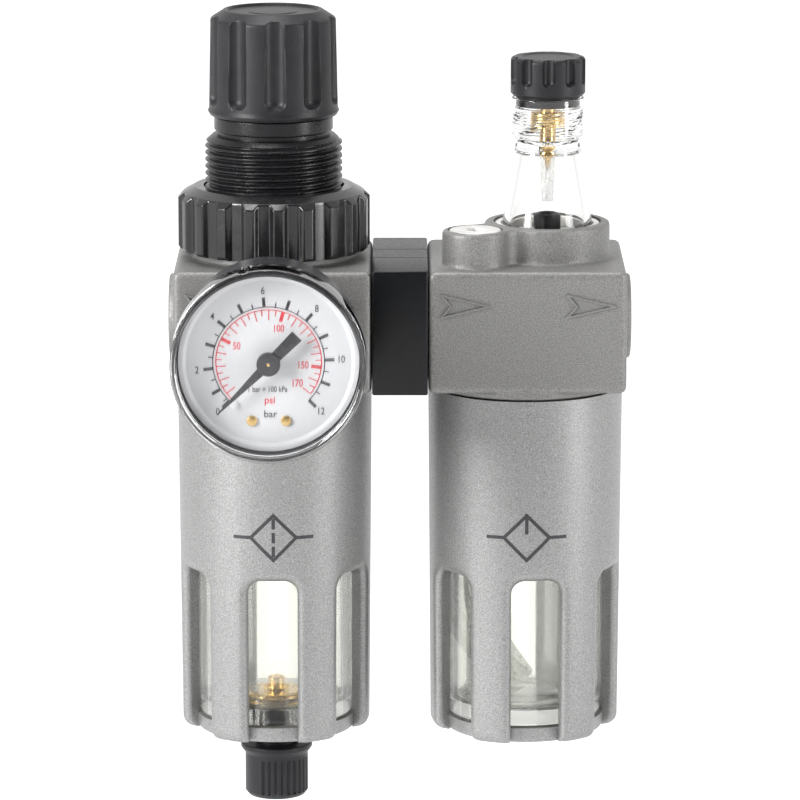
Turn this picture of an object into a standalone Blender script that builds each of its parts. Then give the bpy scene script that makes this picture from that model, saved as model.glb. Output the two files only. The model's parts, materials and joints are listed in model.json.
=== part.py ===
"""Filter regulator and lubricator for a quarter inch air line.

Sizes are in millimetres, and MM turns them into Blender's metres.
+X runs with the air flow, +Y to the back and +Z up.
The origin is the centre of the inlet port's face.
Angles on a turned piece are counted from the front, -Y, towards +X.
"""

import math

import bmesh
import bpy
from mathutils import Matrix, Vector

MM = 0.001
GAP = 0.3  # clearance between neighbouring pieces
WELD = 0.000001
LARGE, MEDIUM, SMALL = 28, 18, 10  # sides of turned pieces
SKIRT_SIDES = 48
SHARP = 35  # degrees between faces from which an edge is shaded sharp

# Layout along the flow
BOSS = 1.5  # a port boss stands this far out of its block
BLOCK = 42.9  # width of each block along the flow
SEAM = 0.4
JOINT = 11.4  # width of the spacer between the blocks
FR_X = BOSS + BLOCK / 2
LUB_X = FR_X + BLOCK + JOINT + 2 * SEAM
END_X = LUB_X + BLOCK / 2 + BOSS
JOINT_X = (FR_X + LUB_X) / 2
JOINT_HEIGHT = 27.3
STUD_R = 1.9
STUD_Y = 15.0
STUD_END = 10.6
STUD_HOLE = 11.0
NIPPLE_R = 7.1  # sleeve that carries the air from block to block
NIPPLE_SEAT = 9.2
NIPPLE_RING = 7.4  # o-ring grooves, from the middle of the joint

# Blocks and ports
HALF_DEPTH = 21.4
HALF_HEIGHT = 13.4
BLOCK_EDGE = 1.3
BOSS_R = 9.3
PORT_R = 5.75  # G1/4 thread, minor radius
PORT_DEPTH = 12.5
GAUGE_PORT_R = 4.5  # G1/8 thread
GAUGE_PORT_END = 9.0
SKIRT_R = 21.3
SKIRT_END = -14.9
BOWL_SOCKET_R = 19.8
BOWL_SOCKET_TOP = -8.0

# Regulator
SEAT_Z = 6.8
VALVE_BORE_R = 5.5
OUTLET_CHAMBER = (9.3, 14.5)
CHAMBER_R = 14.2  # below the diaphragm
CHAMBER_FLOOR = 17.5
NIPPLE_SEAT_R = 7.4
NECK_R = 17.3
NECK_TOP = 21.6
THREAD_R = 15.0  # M30 x 1.5 on the bonnet
THREAD_PITCH = 1.5
THREAD_DEPTH = 0.92
THREAD_TOP = 39.5
CLAMP_R = 17.0  # rim of the bonnet and the diaphragm, held by the ring nut
CLAMP_TOP = 26.5
CLAMP_LOW = 23.1
COLLAR_R = 12.95
COLLAR_LOW = 41.2
TOWER_R = 10.3
TOWER_TOP = 60.0
TOWER_WALL = 1.8
CAGE_R = 8.8  # inside of the tower, where the spring seat slides
SCREW_R = 3.0
SCREW_HEX = 6.8  # across the flats
KNOB_WALL = 2.3
KNOB_BASE = 44.7
KNOB_TOP = 67.7
KNOB_R = 14.05
KNOB_TOP_R = 13.65
FLUTES = 10
KNOB_RECESS_R = 11.2
NUT_R = 21.05
NUT_ROOT_R = 19.75
NUT_BASE = 15.3
NUT_TOP = 30.0
NUT_RIBS = 20
NUT_CREST = 1.9  # width of a rib's crest
NUT_ROOT = 2.5  # width of a groove's floor
NUT_PHASE = 4.3  # degrees
NUT_BORE_R = 15.35
SPRING_LOW = 25.9  # main spring, between the diaphragm's disc and the spring seat
SPRING_HIGH = 48.6
POPPET_R = 4.6
STEM_R = 1.2

# Bowls and their guards
GUARD_TOP = -15.1
GUARD_TOP_R = 21.35
GUARD_BOTTOM = -92.4
GUARD_BOTTOM_R = 20.75
GUARD_BORE_R = 17.3
GUARD_FOOT_R = 2.5  # rounding at the foot of each rib
SLOT_TOP = -54.8
SLOT_WIDTH = 11.2
SLOT_CORNER = 3.0
SLOT_PAIRS = 3
PLATE_R = 17.6
PLATE_TOP = -89.1
BOWL_R = 17.0
BOWL_WALL = 2.0
BOWL_FLOOR = -85.8
BOWL_BASE = -88.8
FLANGE_R = 19.2
FLANGE_TOP = -9.7
FLANGE_UNDERSIDE = -11.3
ELEMENT_LOW = -42.0
ELEMENT_HIGH = -16.3
DRAIN_R = 3.8  # drain body, where it passes through the bowl's floor
DRAIN_BORE_R = 1.9
DRAIN_KNOB_R = 6.98
DRAIN_KNOB_TOP = -96.6
DRAIN_END = -108.5

# Gauge
GAUGE_Y = -34.0  # back of the case
GAUGE_FRONT = -58.5
CASE_R = 19.4
LENS_R = 20.6
RIM_START = 50.0  # where the case widens to carry the lens
DIAL_Y = -52.4
DIAL_R = 18.6
DIAL_SCREWS = (3.6, -12.6)  # to either side, and below the axis
POINTER_R = 15.0
POINTER_TAIL = 8.5
POINTER_REST = 225  # degrees, counter-clockwise from three o'clock
HUB_R = 2.5
SECTOR_ARM = 8.1  # between the pointer's axis and the sector's pivot
PINION_R = 1.2
SECTOR_START = -84  # the toothed arc runs on from here as the pointer climbs
SECTOR_SWEEP = 60

# Sight dome and oil feed
DOME_X = LUB_X + 4.65
DOME_SOCKET_R = 11.75
DOME_FLANGE_R = 11.3
DOME_LOW = 16.2
DOME_TOP = 45.5  # top of its thread
SIPHON_Y = 8.6
SIPHON = 6.0  # outer diameter
SIPHON_BORE = 3.2
NEEDLE_R = 3.85
FEED_KNOB_R = 8.15
FEED_KNOB_TOP = 57.4
UPSTAND_R = 13.7
UPSTAND_TOP = 21.2
PLUG_X = LUB_X - 11.25
PLUG_Y = -12.0
PLUG_BOSS_R = 7.2
PLUG_R = 5.75
PLUG_THREAD_R = 4.5
VALLEY_R = 4.0

# Name, base colour, roughness, metallic, alpha
FINISHES = {
    "cast_paint": ((0.32, 0.315, 0.305), 0.5, 0.6, 1),
    "guard_paint": ((0.45, 0.45, 0.45), 0.5, 0.6, 1),
    "black_nylon": ((0.03, 0.03, 0.032), 0.45, 0, 1),
    "gloss_black": ((0.015, 0.015, 0.016), 0.2, 0, 1),
    "clear_plastic": ((0.9, 0.92, 0.85), 0.05, 0, 0.35),
    "tube_nylon": ((0.85, 0.85, 0.8), 0.3, 0, 0.6),
    "white_plastic": ((0.8, 0.8, 0.78), 0.4, 0, 1),
    "brass": ((0.65, 0.48, 0.2), 0.3, 1, 1),
    "steel": ((0.55, 0.55, 0.55), 0.35, 1, 1),
    "zinc": ((0.68, 0.68, 0.66), 0.35, 1, 1),
    "rubber": ((0.02, 0.02, 0.02), 0.6, 0, 1),
    "sintered": ((0.75, 0.73, 0.66), 0.85, 0, 1),
    "dial_paint": ((0.85, 0.85, 0.86), 0.4, 0, 1),
}

UP = (0, 0, 0)
TO_FRONT = (math.pi / 2, 0, 0)  # own Z turned to -Y
TO_BACK = (-math.pi / 2, 0, 0)  # own Z turned to +Y
TO_RIGHT = (0, math.pi / 2, 0)  # own Z turned to +X


def clear_scene():
    for obj in list(bpy.data.objects):
        bpy.data.objects.remove(obj)


def new_collection(name):
    made = bpy.data.collections.new(name)
    bpy.context.scene.collection.children.link(made)
    return made


def new_material(name, finish):
    """A sub-part's own material, with the values of one of the finishes."""
    colour, roughness, metallic, alpha = FINISHES[finish]
    made = bpy.data.materials.new(f"{name}_{finish}")
    made.use_nodes = True
    shader = made.node_tree.nodes["Principled BSDF"]
    shader.inputs["Base Color"].default_value = (*colour, 1)
    shader.inputs["Roughness"].default_value = roughness
    shader.inputs["Metallic"].default_value = metallic
    shader.inputs["Alpha"].default_value = alpha
    return made


clear_scene()
PARTS = new_collection("filter_regulator_lubricator")
CUTTERS = new_collection("cutters")


def put(name, data, finish, at=(0, 0, 0), turn=UP):
    """An object in the parts collection or, with no finish, a hidden tool."""
    obj = bpy.data.objects.new(name, data)
    obj.location = Vector(at) * MM
    obj.rotation_euler = turn
    if finish:
        PARTS.objects.link(obj)
        data.materials.append(new_material(name, finish))
    else:
        CUTTERS.objects.link(obj)
        obj.hide_render = True
        obj.display_type = "WIRE"
    return obj


def mesh_of(name, bm):
    mesh = bpy.data.meshes.new(name)
    bm.to_mesh(mesh)
    bm.free()
    return mesh


def turned(name, finish, profile, at=(0, 0, 0), turn=UP, sides=MEDIUM):
    """A solid of revolution about its own Z.

    The (radius, height) points run down the outer side. A profile that starts
    off the axis is closed, and makes a ring.
    """
    bm = bmesh.new()
    points = [bm.verts.new((radius * MM, 0, height * MM)) for radius, height in profile]
    following = points[1:]
    if profile[0][0] > 0:
        following.append(points[0])
    for first, second in zip(points, following):
        bm.edges.new((first, second))
    obj = put(name, mesh_of(name, bm), finish, at, turn)
    screw = obj.modifiers.new("Turn", "SCREW")
    screw.steps = sides
    screw.render_steps = sides
    screw.merge_threshold = WELD
    screw.use_merge_vertices = True
    screw.use_smooth_shade = False
    return obj


def disc(name, finish, radius, low, high, at=(0, 0, 0), turn=UP, sides=MEDIUM):
    profile = [(0, high), (radius, high), (radius, low), (0, low)]
    return turned(name, finish, profile, at, turn, sides)


def ring(name, finish, outer, inner, low, high, at=(0, 0, 0), turn=UP, sides=MEDIUM):
    profile = [(outer, high), (outer, low), (inner, low), (inner, high)]
    return turned(name, finish, profile, at, turn, sides)


def o_ring(name, radius, thickness, at, turn=UP, sides=MEDIUM, around=5):
    """A rubber ring, whose section is a circle about a point at its radius."""
    profile = []
    for step in range(around):
        angle = math.pi / 2 - step * 2 * math.pi / around
        profile.append(
            (
                radius + thickness / 2 * math.cos(angle),
                thickness / 2 * math.sin(angle),
            )
        )
    return turned(name, "rubber", profile, at, turn, sides)


def box(name, finish, size, at, bevel=0.0, turn=UP, segments=2):
    bm = bmesh.new()
    bmesh.ops.create_cube(bm, size=1)
    bmesh.ops.scale(bm, vec=Vector(size) * MM, verts=bm.verts)
    obj = put(name, mesh_of(name, bm), finish, at, turn)
    if bevel:
        modifier = obj.modifiers.new("Edges", "BEVEL")
        modifier.width = bevel * MM
        modifier.segments = segments
    return obj


def prism(name, finish, outline, low, high, at=(0, 0, 0), turn=UP):
    """A flat outline raised along its own Z, as a mesh."""
    curve = bpy.data.curves.new(name, "CURVE")
    curve.dimensions = "2D"
    curve.fill_mode = "BOTH"
    curve.extrude = (high - low) / 2 * MM
    spline = curve.splines.new("POLY")
    spline.points.add(len(outline) - 1)
    spline.use_cyclic_u = True
    for point, (x, y) in zip(spline.points, outline):
        point.co = (x * MM, y * MM, 0, 1)
    flat = put(name, curve, None, at, turn)
    middle = Matrix.Translation((0, 0, (high + low) / 2 * MM))
    return as_mesh(flat, finish, middle)


def polygon(corners, across, start=0.0):
    """A regular outline, measured across its flats."""
    radius = across / 2 / math.cos(math.pi / corners)
    angles = [start + step * 2 * math.pi / corners for step in range(corners)]
    return [(radius * math.cos(angle), radius * math.sin(angle)) for angle in angles]


def wire(name, finish, points, thickness, at=(0, 0, 0), resolution=1):
    """A round wire through points given in millimetres from its own origin."""
    curve = bpy.data.curves.new(name, "CURVE")
    curve.dimensions = "3D"
    curve.bevel_depth = thickness / 2 * MM
    curve.bevel_resolution = resolution
    curve.use_fill_caps = True
    spline = curve.splines.new("POLY")
    spline.points.add(len(points) - 1)
    for point, place in zip(spline.points, points):
        point.co = (*(Vector(place) * MM), 1)
    return put(name, curve, finish, at)


def as_mesh(obj, finish, shift=Matrix()):
    """The curve object remade as a closed mesh, moved by shift in its own frame."""
    bpy.context.view_layer.update()
    graph = bpy.context.evaluated_depsgraph_get()
    mesh = bpy.data.meshes.new_from_object(obj.evaluated_get(graph))
    mesh.transform(shift)
    bm = bmesh.new()
    bm.from_mesh(mesh)
    bmesh.ops.remove_doubles(bm, verts=bm.verts, dist=WELD)
    bm.to_mesh(mesh)
    bm.free()
    mesh.materials.clear()
    name = obj.name
    place = obj.matrix_world.copy()
    bpy.data.objects.remove(obj)
    made = put(name, mesh, finish)
    made.matrix_world = place
    return made


def combine(target, operation, tools):
    for tool in tools:
        modifier = target.modifiers.new(tool.name, "BOOLEAN")
        modifier.operation = operation
        modifier.solver = "EXACT"
        modifier.object = tool


def cut(target, *tools):
    combine(target, "DIFFERENCE", tools)


def join(target, *tools):
    combine(target, "UNION", tools)


def copies_about_axis(name, shape, count, phase, at):
    """A tool made of a bmesh and its copies, turned about Z from a first angle in degrees."""
    single = mesh_of(name + "_one", shape)
    bm = bmesh.new()
    for step in range(count):
        before = len(bm.verts)
        bm.from_mesh(single)
        bm.verts.ensure_lookup_table()
        angle = math.radians(phase + step * 360 / count)
        bmesh.ops.rotate(
            bm,
            cent=(0, 0, 0),
            matrix=Matrix.Rotation(angle, 3, "Z"),
            verts=bm.verts[before:],
        )
    bpy.data.meshes.remove(single)
    return put(name, mesh_of(name, bm), None, at)


def flute_cutter(name, radius, depth, flute_r, low, high, phase, at):
    """Round-bottomed grooves down the side of a knob."""
    centre = radius - depth + flute_r
    bm = bmesh.new()
    bmesh.ops.create_cone(
        bm,
        cap_ends=True,
        segments=8,
        radius1=flute_r * MM,
        radius2=flute_r * MM,
        depth=(high - low) * MM,
        matrix=Matrix.Translation((0, -centre * MM, (high + low) / 2 * MM)),
    )
    return copies_about_axis(name, bm, FLUTES, phase, at)


# ---------------------------------------------------------------- blocks


def block(name, centre_x, boss_side):
    """A cast block with one port boss, a skirt and the socket for a bowl."""
    axis = (centre_x, 0, 0)
    size = (BLOCK, 2 * HALF_DEPTH, 2 * HALF_HEIGHT)
    body = box(name, "cast_paint", size, axis, BLOCK_EDGE)
    face = (centre_x + boss_side * BLOCK / 2, 0, 0)
    boss = disc(name + "_boss", None, BOSS_R, -BOSS, BOSS, face, TO_RIGHT, LARGE)
    skirt_top = 3 - HALF_HEIGHT
    skirt = disc(name + "_skirt", None, SKIRT_R, SKIRT_END, skirt_top, axis, UP, SKIRT_SIDES)
    socket_end = SKIRT_END - 1
    socket = disc(
        name + "_socket", None, BOWL_SOCKET_R, socket_end, BOWL_SOCKET_TOP, axis, UP, LARGE
    )
    join(body, boss, skirt)
    cut(body, socket)
    return body


def bore(name, radius, start, end, along, sides=MEDIUM):
    """A tool along X, on the line of the ports or beside it."""
    return disc(name, None, radius, start, end, (0, along, 0), TO_RIGHT, sides)


def well(name, radius, low, high, x, y=0, sides=SMALL):
    """An upright tool."""
    return disc(name, None, radius, low, high, (x, y, 0), UP, sides)


def fr_body():
    body = block("fr_body", FR_X, -1)
    neck = well("fr_neck", NECK_R, 10, NECK_TOP, FR_X, 0, LARGE)
    hub = well("fr_hub", 8, -14, BOWL_SOCKET_TOP + 1, FR_X, 0, MEDIUM)
    join(body, neck, hub)
    cut(
        body,
        well("fr_diaphragm_chamber", CHAMBER_R, CHAMBER_FLOOR, NECK_TOP + 1, FR_X, 0, LARGE),
        well("fr_outlet_chamber", 11, *OUTLET_CHAMBER, FR_X, 0, LARGE),
        well("fr_seat", 3.2, SEAT_Z - 0.5, OUTLET_CHAMBER[0] + 0.5, FR_X, 0, MEDIUM),
        well("fr_valve_bore", VALVE_BORE_R, SKIRT_END - 0.1, SEAT_Z, FR_X, 0, MEDIUM),
        well("fr_stem_guide", 1.6, 14, 18, FR_X),
        well("fr_balance_hole", 0.8, 14, 18, FR_X + 7),
        bore("fr_inlet", PORT_R, -1, PORT_DEPTH, 0),
        well("fr_inlet_drop", 3.6, BOWL_SOCKET_TOP - 1, 0, PORT_DEPTH - 2),
        bore("fr_nipple_seat", NIPPLE_SEAT_R, JOINT_X - NIPPLE_SEAT, JOINT_X, 0),
        bore("fr_outlet", PORT_R, FR_X + 9, JOINT_X - 2, 0),
        well("fr_outlet_drop", 2.6, -1, 11, FR_X + 10.5),
    )
    cut(body, *gauge_port("front", TO_FRONT, -1), *gauge_port("rear", TO_BACK, 1))
    cut(body, *stud_holes("fr"))


def gauge_port(side, turn, sign):
    """A gauge port and the small hole that feeds it from the outlet chamber."""
    axis = (FR_X, 0, 0)
    name = "fr_gauge_port_" + side
    port = disc(name, None, GAUGE_PORT_R, GAUGE_PORT_END, HALF_DEPTH + 1, axis, turn)
    link = well("fr_gauge_link_" + side, 1.2, 0, 11, FR_X, sign * (GAUGE_PORT_END + 1.3), 12)
    return port, link


def lub_body():
    body = block("lub_body", LUB_X, 1)
    join(body, prism("lub_upstand", None, upstand_outline(), 10, UPSTAND_TOP))
    above = UPSTAND_TOP + 1
    cut(
        body,
        bore("lub_nipple_seat", NIPPLE_SEAT_R, JOINT_X, JOINT_X + NIPPLE_SEAT, 0),
        bore("lub_flow", PORT_R, JOINT_X + 2, END_X + 1, 0),
        well("lub_dome_socket", DOME_SOCKET_R, 14.2, above, DOME_X, 0, LARGE),
        well("lub_drip_way", 2.5, 3, 15, DOME_X),
        well("lub_oil_way", 1.2, -9, 15, DOME_X, SIPHON_Y),
        well("lub_siphon_socket", 3.6, -9, -7, DOME_X, SIPHON_Y),
        well("lub_fill_seat", PLUG_R + GAP, 17.8, above, PLUG_X, PLUG_Y, MEDIUM),
        well("lub_fill_thread", PLUG_THREAD_R + GAP, 9, 18.2, PLUG_X, PLUG_Y, MEDIUM),
        well("lub_fill_way", 1.9, -9, 10, PLUG_X + 1.9, PLUG_Y + 1.6),
        *stud_holes("lub"),
    )


def upstand_outline():
    """The dome's round upstand and the fill plug's boss, with a fillet in each valley."""
    boss, dome = Vector((PLUG_X, PLUG_Y)), Vector((DOME_X, 0))
    across = boss - dome
    ways = (across.length, UPSTAND_R + VALLEY_R, PLUG_BOSS_R + VALLEY_R)
    at_dome = math.acos(
        (ways[0] ** 2 + ways[1] ** 2 - ways[2] ** 2) / (2 * ways[0] * ways[1])
    )
    heading = math.atan2(across.y, across.x)
    low_valley = dome + ways[1] * direction(heading + at_dome)
    high_valley = dome + ways[1] * direction(heading - at_dome)
    return [
        *arc(dome, UPSTAND_R, low_valley - dome, high_valley - dome, 26),
        *arc(high_valley, VALLEY_R, dome - high_valley, boss - high_valley, 4, -1),
        *arc(boss, PLUG_BOSS_R, high_valley - boss, low_valley - boss, 12),
        *arc(low_valley, VALLEY_R, boss - low_valley, dome - low_valley, 4, -1),
    ]


def direction(angle):
    return Vector((math.cos(angle), math.sin(angle)))


def arc(centre, radius, start, end, steps, way=1):
    """Points from one heading round to another, without the last one."""
    first = math.atan2(start.y, start.x)
    sweep = (way * (math.atan2(end.y, end.x) - first)) % (2 * math.pi)
    return [
        centre + radius * direction(first + way * sweep * step / steps)
        for step in range(steps)
    ]


def stud_holes(prefix):
    start, end = JOINT_X - STUD_HOLE, JOINT_X + STUD_HOLE
    return [
        bore(f"{prefix}_stud_hole_{index}", STUD_R + GAP, start, end, place, SMALL)
        for index, place in enumerate((-STUD_Y, STUD_Y), 1)
    ]


def joint_block():
    """The spacer between the two blocks, with the nipple and studs that cross it."""
    size = (JOINT, 2 * HALF_DEPTH, JOINT_HEIGHT)
    spacer = box("joint_block", "black_nylon", size, (JOINT_X, 0, 0), 0.6, segments=1)
    passage = bore("joint_bore", NIPPLE_SEAT_R, JOINT_X - JOINT, JOINT_X + JOINT, 0)
    cut(spacer, passage, *stud_holes("joint"))
    for index, place in enumerate((-STUD_Y, STUD_Y), 1):
        low, high = JOINT_X - STUD_END, JOINT_X + STUD_END
        at = (0, place, 0)
        disc(f"joint_stud_{index}", "steel", STUD_R, low, high, at, TO_RIGHT, SMALL)
    joint_nipple()


def joint_nipple():
    """Brass sleeve that leads the air across, with an o-ring groove at each end."""
    half_length = NIPPLE_SEAT - GAP
    grooves = (JOINT_X - NIPPLE_RING, JOINT_X + NIPPLE_RING)
    profile = [(NIPPLE_R, JOINT_X + half_length)]
    for centre in reversed(grooves):
        top, bottom = centre + 0.8, centre - 0.8
        profile += [
            (NIPPLE_R, top),
            (NIPPLE_R - 0.8, top),
            (NIPPLE_R - 0.8, bottom),
            (NIPPLE_R, bottom),
        ]
    low = JOINT_X - half_length
    profile += [(NIPPLE_R, low), (5.4, low), (5.4, JOINT_X + half_length)]
    turned("joint_nipple", "brass", profile, (0, 0, 0), TO_RIGHT, MEDIUM)
    for index, centre in enumerate(grooves, 1):
        o_ring(f"joint_o_ring_{index}", 6.86, 0.9, (centre, 0, 0), TO_RIGHT, MEDIUM)


# ------------------------------------------------------------- regulator


def bonnet():
    """Threaded spring housing, its flange held under the ring nut."""
    neck_r, neck_low = 12.2, THREAD_TOP + 0.8
    inner_r = CLAMP_R - 4.6
    profile = [
        (4.0, TOWER_TOP),
        (TOWER_R, TOWER_TOP),
        (TOWER_R, KNOB_BASE - 0.2),
        (COLLAR_R, KNOB_BASE - 0.2),
        (COLLAR_R, COLLAR_LOW),
        (neck_r, COLLAR_LOW),
        (neck_r, neck_low),
        (13.4, neck_low),
        *thread_teeth(),
        (THREAD_R - 0.2, 29),
        (THREAD_R - 0.2, CLAMP_TOP),
        (CLAMP_R, CLAMP_TOP),
        (CLAMP_R, CLAMP_LOW),
        (inner_r, CLAMP_LOW),
        (inner_r, 37.0),
        (CAGE_R, 40.0),
        (CAGE_R, TOWER_TOP - TOWER_WALL),
        (4.0, TOWER_TOP - TOWER_WALL),
    ]
    made = turned("regulator_bonnet", "black_nylon", profile, (FR_X, 0, 0), UP, LARGE)
    keyway_size = (2.2, 2 * CAGE_R + 1.6, 21)
    keyway = box("bonnet_keyway", None, keyway_size, (FR_X, 0, TOWER_TOP - 12))
    vent = disc("bonnet_vent", None, 0.9, 10, 18, (FR_X, 0, 28.2), TO_BACK, SMALL)
    cut(made, keyway, vent)


def thread_teeth():
    """Crest and root of each turn of the bonnet's thread, from the top down."""
    teeth = []
    for step in range(int((THREAD_TOP - NUT_TOP) / THREAD_PITCH)):
        crest = THREAD_TOP - 0.4 - step * THREAD_PITCH
        teeth.append((THREAD_R, crest))
        teeth.append((THREAD_R - THREAD_DEPTH, crest - THREAD_PITCH / 2))
    return teeth


def ring_nut():
    """Ribbed nut: a bar with trapezoid ribs, cut down to a turned outline."""
    made = prism(
        "ring_nut", "gloss_black", ribbed_outline(), NUT_BASE - 1, NUT_TOP + 1, (FR_X, 0, 0)
    )
    profile = [
        (NUT_BORE_R, NUT_TOP),
        (17.3, NUT_TOP),
        (19.6, 28.6),
        (NUT_R, 26.9),
        (NUT_R, NUT_BASE + 0.7),
        (NUT_R - 0.7, NUT_BASE),
        (NECK_R + GAP, NUT_BASE),
        (NECK_R + GAP, CLAMP_TOP + GAP),
        (NUT_BORE_R, CLAMP_TOP + GAP),
    ]
    form = turned("ring_nut_form", None, profile, (FR_X, 0, 0), UP, LARGE)
    combine(made, "INTERSECT", [form])


def ribbed_outline():
    half_crest = NUT_CREST / 2 / NUT_R
    half_root = NUT_ROOT / 2 / NUT_ROOT_R
    pitch = 2 * math.pi / NUT_RIBS
    crest_r = NUT_R + 0.1
    outline = []
    for step in range(NUT_RIBS):
        middle = step * pitch + math.radians(NUT_PHASE) - math.pi / 2
        groove = middle + pitch / 2
        outline += [
            crest_r * direction(middle - half_crest),
            crest_r * direction(middle + half_crest),
            NUT_ROOT_R * direction(groove - half_root),
            NUT_ROOT_R * direction(groove + half_root),
        ]
    return outline


def regulator_knob():
    """Push-to-lock knob over the bonnet's tower."""
    axis = (FR_X, 0, 0)
    ceiling = KNOB_TOP - KNOB_WALL
    profile = [
        (0, KNOB_TOP - 0.5),
        (KNOB_RECESS_R - 0.5, KNOB_TOP - 0.5),
        (KNOB_RECESS_R, KNOB_TOP),
        (KNOB_TOP_R - 1.3, KNOB_TOP),
        (KNOB_TOP_R - 0.4, KNOB_TOP - 0.4),
        (KNOB_TOP_R, KNOB_TOP - 1.3),
        (KNOB_R, KNOB_BASE + 0.5),
        (KNOB_R - 0.5, KNOB_BASE),
        (TOWER_R + 0.4, KNOB_BASE),
        (TOWER_R + 0.4, ceiling),
        (0, ceiling),
    ]
    made = turned("regulator_knob", "black_nylon", profile, axis, UP, LARGE)
    flutes = flute_cutter("knob_flutes", KNOB_R, 1.3, 3.1, 46.6, KNOB_TOP + 1, 3, axis)
    low = TOWER_TOP + 0.4
    socket = disc("knob_socket_ring", None, 6.2, low, ceiling + 0.5, axis)
    flats = SCREW_HEX + 2 * GAP
    hexagon = prism("knob_socket_hex", None, polygon(6, flats), low - 1, KNOB_TOP - 1.2, axis)
    join(made, socket)
    cut(made, flutes, hexagon)


def adjusting_parts():
    """Screw, travelling nut and main spring."""
    axis = (FR_X, 0, 0)
    shoulder = TOWER_TOP - TOWER_WALL - GAP
    profile = [
        (0, TOWER_TOP + 0.5),
        (SCREW_R + 0.4, TOWER_TOP + 0.5),
        (SCREW_R + 0.4, shoulder + 0.1),
        (2 * SCREW_R, shoulder),
        (2 * SCREW_R, shoulder - 1.3),
        (SCREW_R, shoulder - 1.3),
        (SCREW_R, 41),
        (0, 41),
    ]
    screw = turned("adjusting_screw", "steel", profile, axis, UP, MEDIUM)
    outline = polygon(6, SCREW_HEX)
    head = prism("screw_head", None, outline, TOWER_TOP + 0.2, KNOB_TOP - 1.6, axis)
    join(screw, head)
    seat_low, seat_high = SPRING_HIGH + 1.4, 54.0
    bore_r = SCREW_R + GAP
    seat = ring("spring_seat", "brass", CAGE_R - 0.4, bore_r, seat_low, seat_high, axis)
    key_size = (1.6, 2 * CAGE_R + 0.8, seat_high - seat_low - 0.2)
    key = box("seat_key", None, key_size, (FR_X, 0, (seat_low + seat_high) / 2))
    passage = disc("seat_passage", None, bore_r, seat_low - 1, seat_high + 1, axis)
    join(seat, key)
    cut(seat, passage)
    wire("main_spring", "steel", coil(6.8, SPRING_LOW, SPRING_HIGH, 6.5, 10), 2.0, axis, 0)


def coil(radius, low, high, turns, per_turn):
    """Points of a spring whose end turns lie flat."""
    points = []
    steps = int(turns * per_turn)
    for step in range(steps + 1):
        share = step / steps
        angle = share * turns * 2 * math.pi
        rise = share * share * (3 - 2 * share)
        height = low + (high - low) * rise
        points.append((radius * math.cos(angle), radius * math.sin(angle), height))
    return points


def diaphragm_parts():
    """Rubber diaphragm with its rim, the disc under the spring and the plate below."""
    axis = (FR_X, 0, 0)
    thickness = 0.8
    upper = [
        (2.0, 22.7),
        (10.6, 22.7),
        (11.6, 21.7),
        (13.0, 21.7),
        (13.8, 22.8),
        (CLAMP_R, 22.8),
    ]
    lower = [(CLAMP_R, 21.9), (14.0, 21.9), (13.2, 20.9), (11.4, 20.9), (10.4, 21.9)]
    turned("diaphragm", "rubber", [*upper, *lower, (2.0, 22.7 - thickness)], axis)
    disc_low = CLAMP_LOW - 0.1
    profile = [
        (0, 26.6),
        (POPPET_R, 26.6),
        (POPPET_R, 24.3),
        (10.2, 24.3),
        (10.2, disc_low),
        (0, disc_low),
    ]
    turned("diaphragm_disc", "steel", profile, axis)
    disc("diaphragm_plate", "brass", 8.0, NECK_TOP - 1.2, NECK_TOP, axis)


def valve_parts():
    """Poppet with its stem, return spring and guide."""
    axis = (FR_X, 0, 0)
    tail_r, tail_end = 1.7, -9
    seat_gap = SEAT_Z - GAP
    profile = [
        (0, NECK_TOP - 1.5),
        (STEM_R, NECK_TOP - 1.5),
        (STEM_R, seat_gap),
        (POPPET_R, seat_gap),
        (POPPET_R, seat_gap - 3),
        (tail_r, seat_gap - 3),
        (tail_r, tail_end),
        (0, tail_end),
    ]
    turned("valve_stem", "brass", profile, axis)
    guide_r, spring_foot, guide_end = tail_r + GAP, -10.6, -13.2
    profile = [
        (guide_r + 1.1, -4),
        (guide_r + 1.1, spring_foot),
        (VALVE_BORE_R - GAP, spring_foot),
        (VALVE_BORE_R - GAP, guide_end),
        (1.0, guide_end),
        (1.0, guide_end + 2),
        (guide_r, guide_end + 2),
        (guide_r, -4),
    ]
    guide = turned("valve_guide", "brass", profile, axis)
    bm = bmesh.new()
    bmesh.ops.create_cone(
        bm,
        cap_ends=True,
        segments=6,
        radius1=0.7 * MM,
        radius2=0.7 * MM,
        depth=6 * MM,
        matrix=Matrix.Translation((0, -4.15 * MM, -12 * MM)),
    )
    cut(guide, copies_about_axis("guide_air_holes", bm, 4, 0, axis))
    wire("valve_spring", "steel", coil(4.15, -9.9, 2.8, 5, 9), 0.7, axis, 0)


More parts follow.
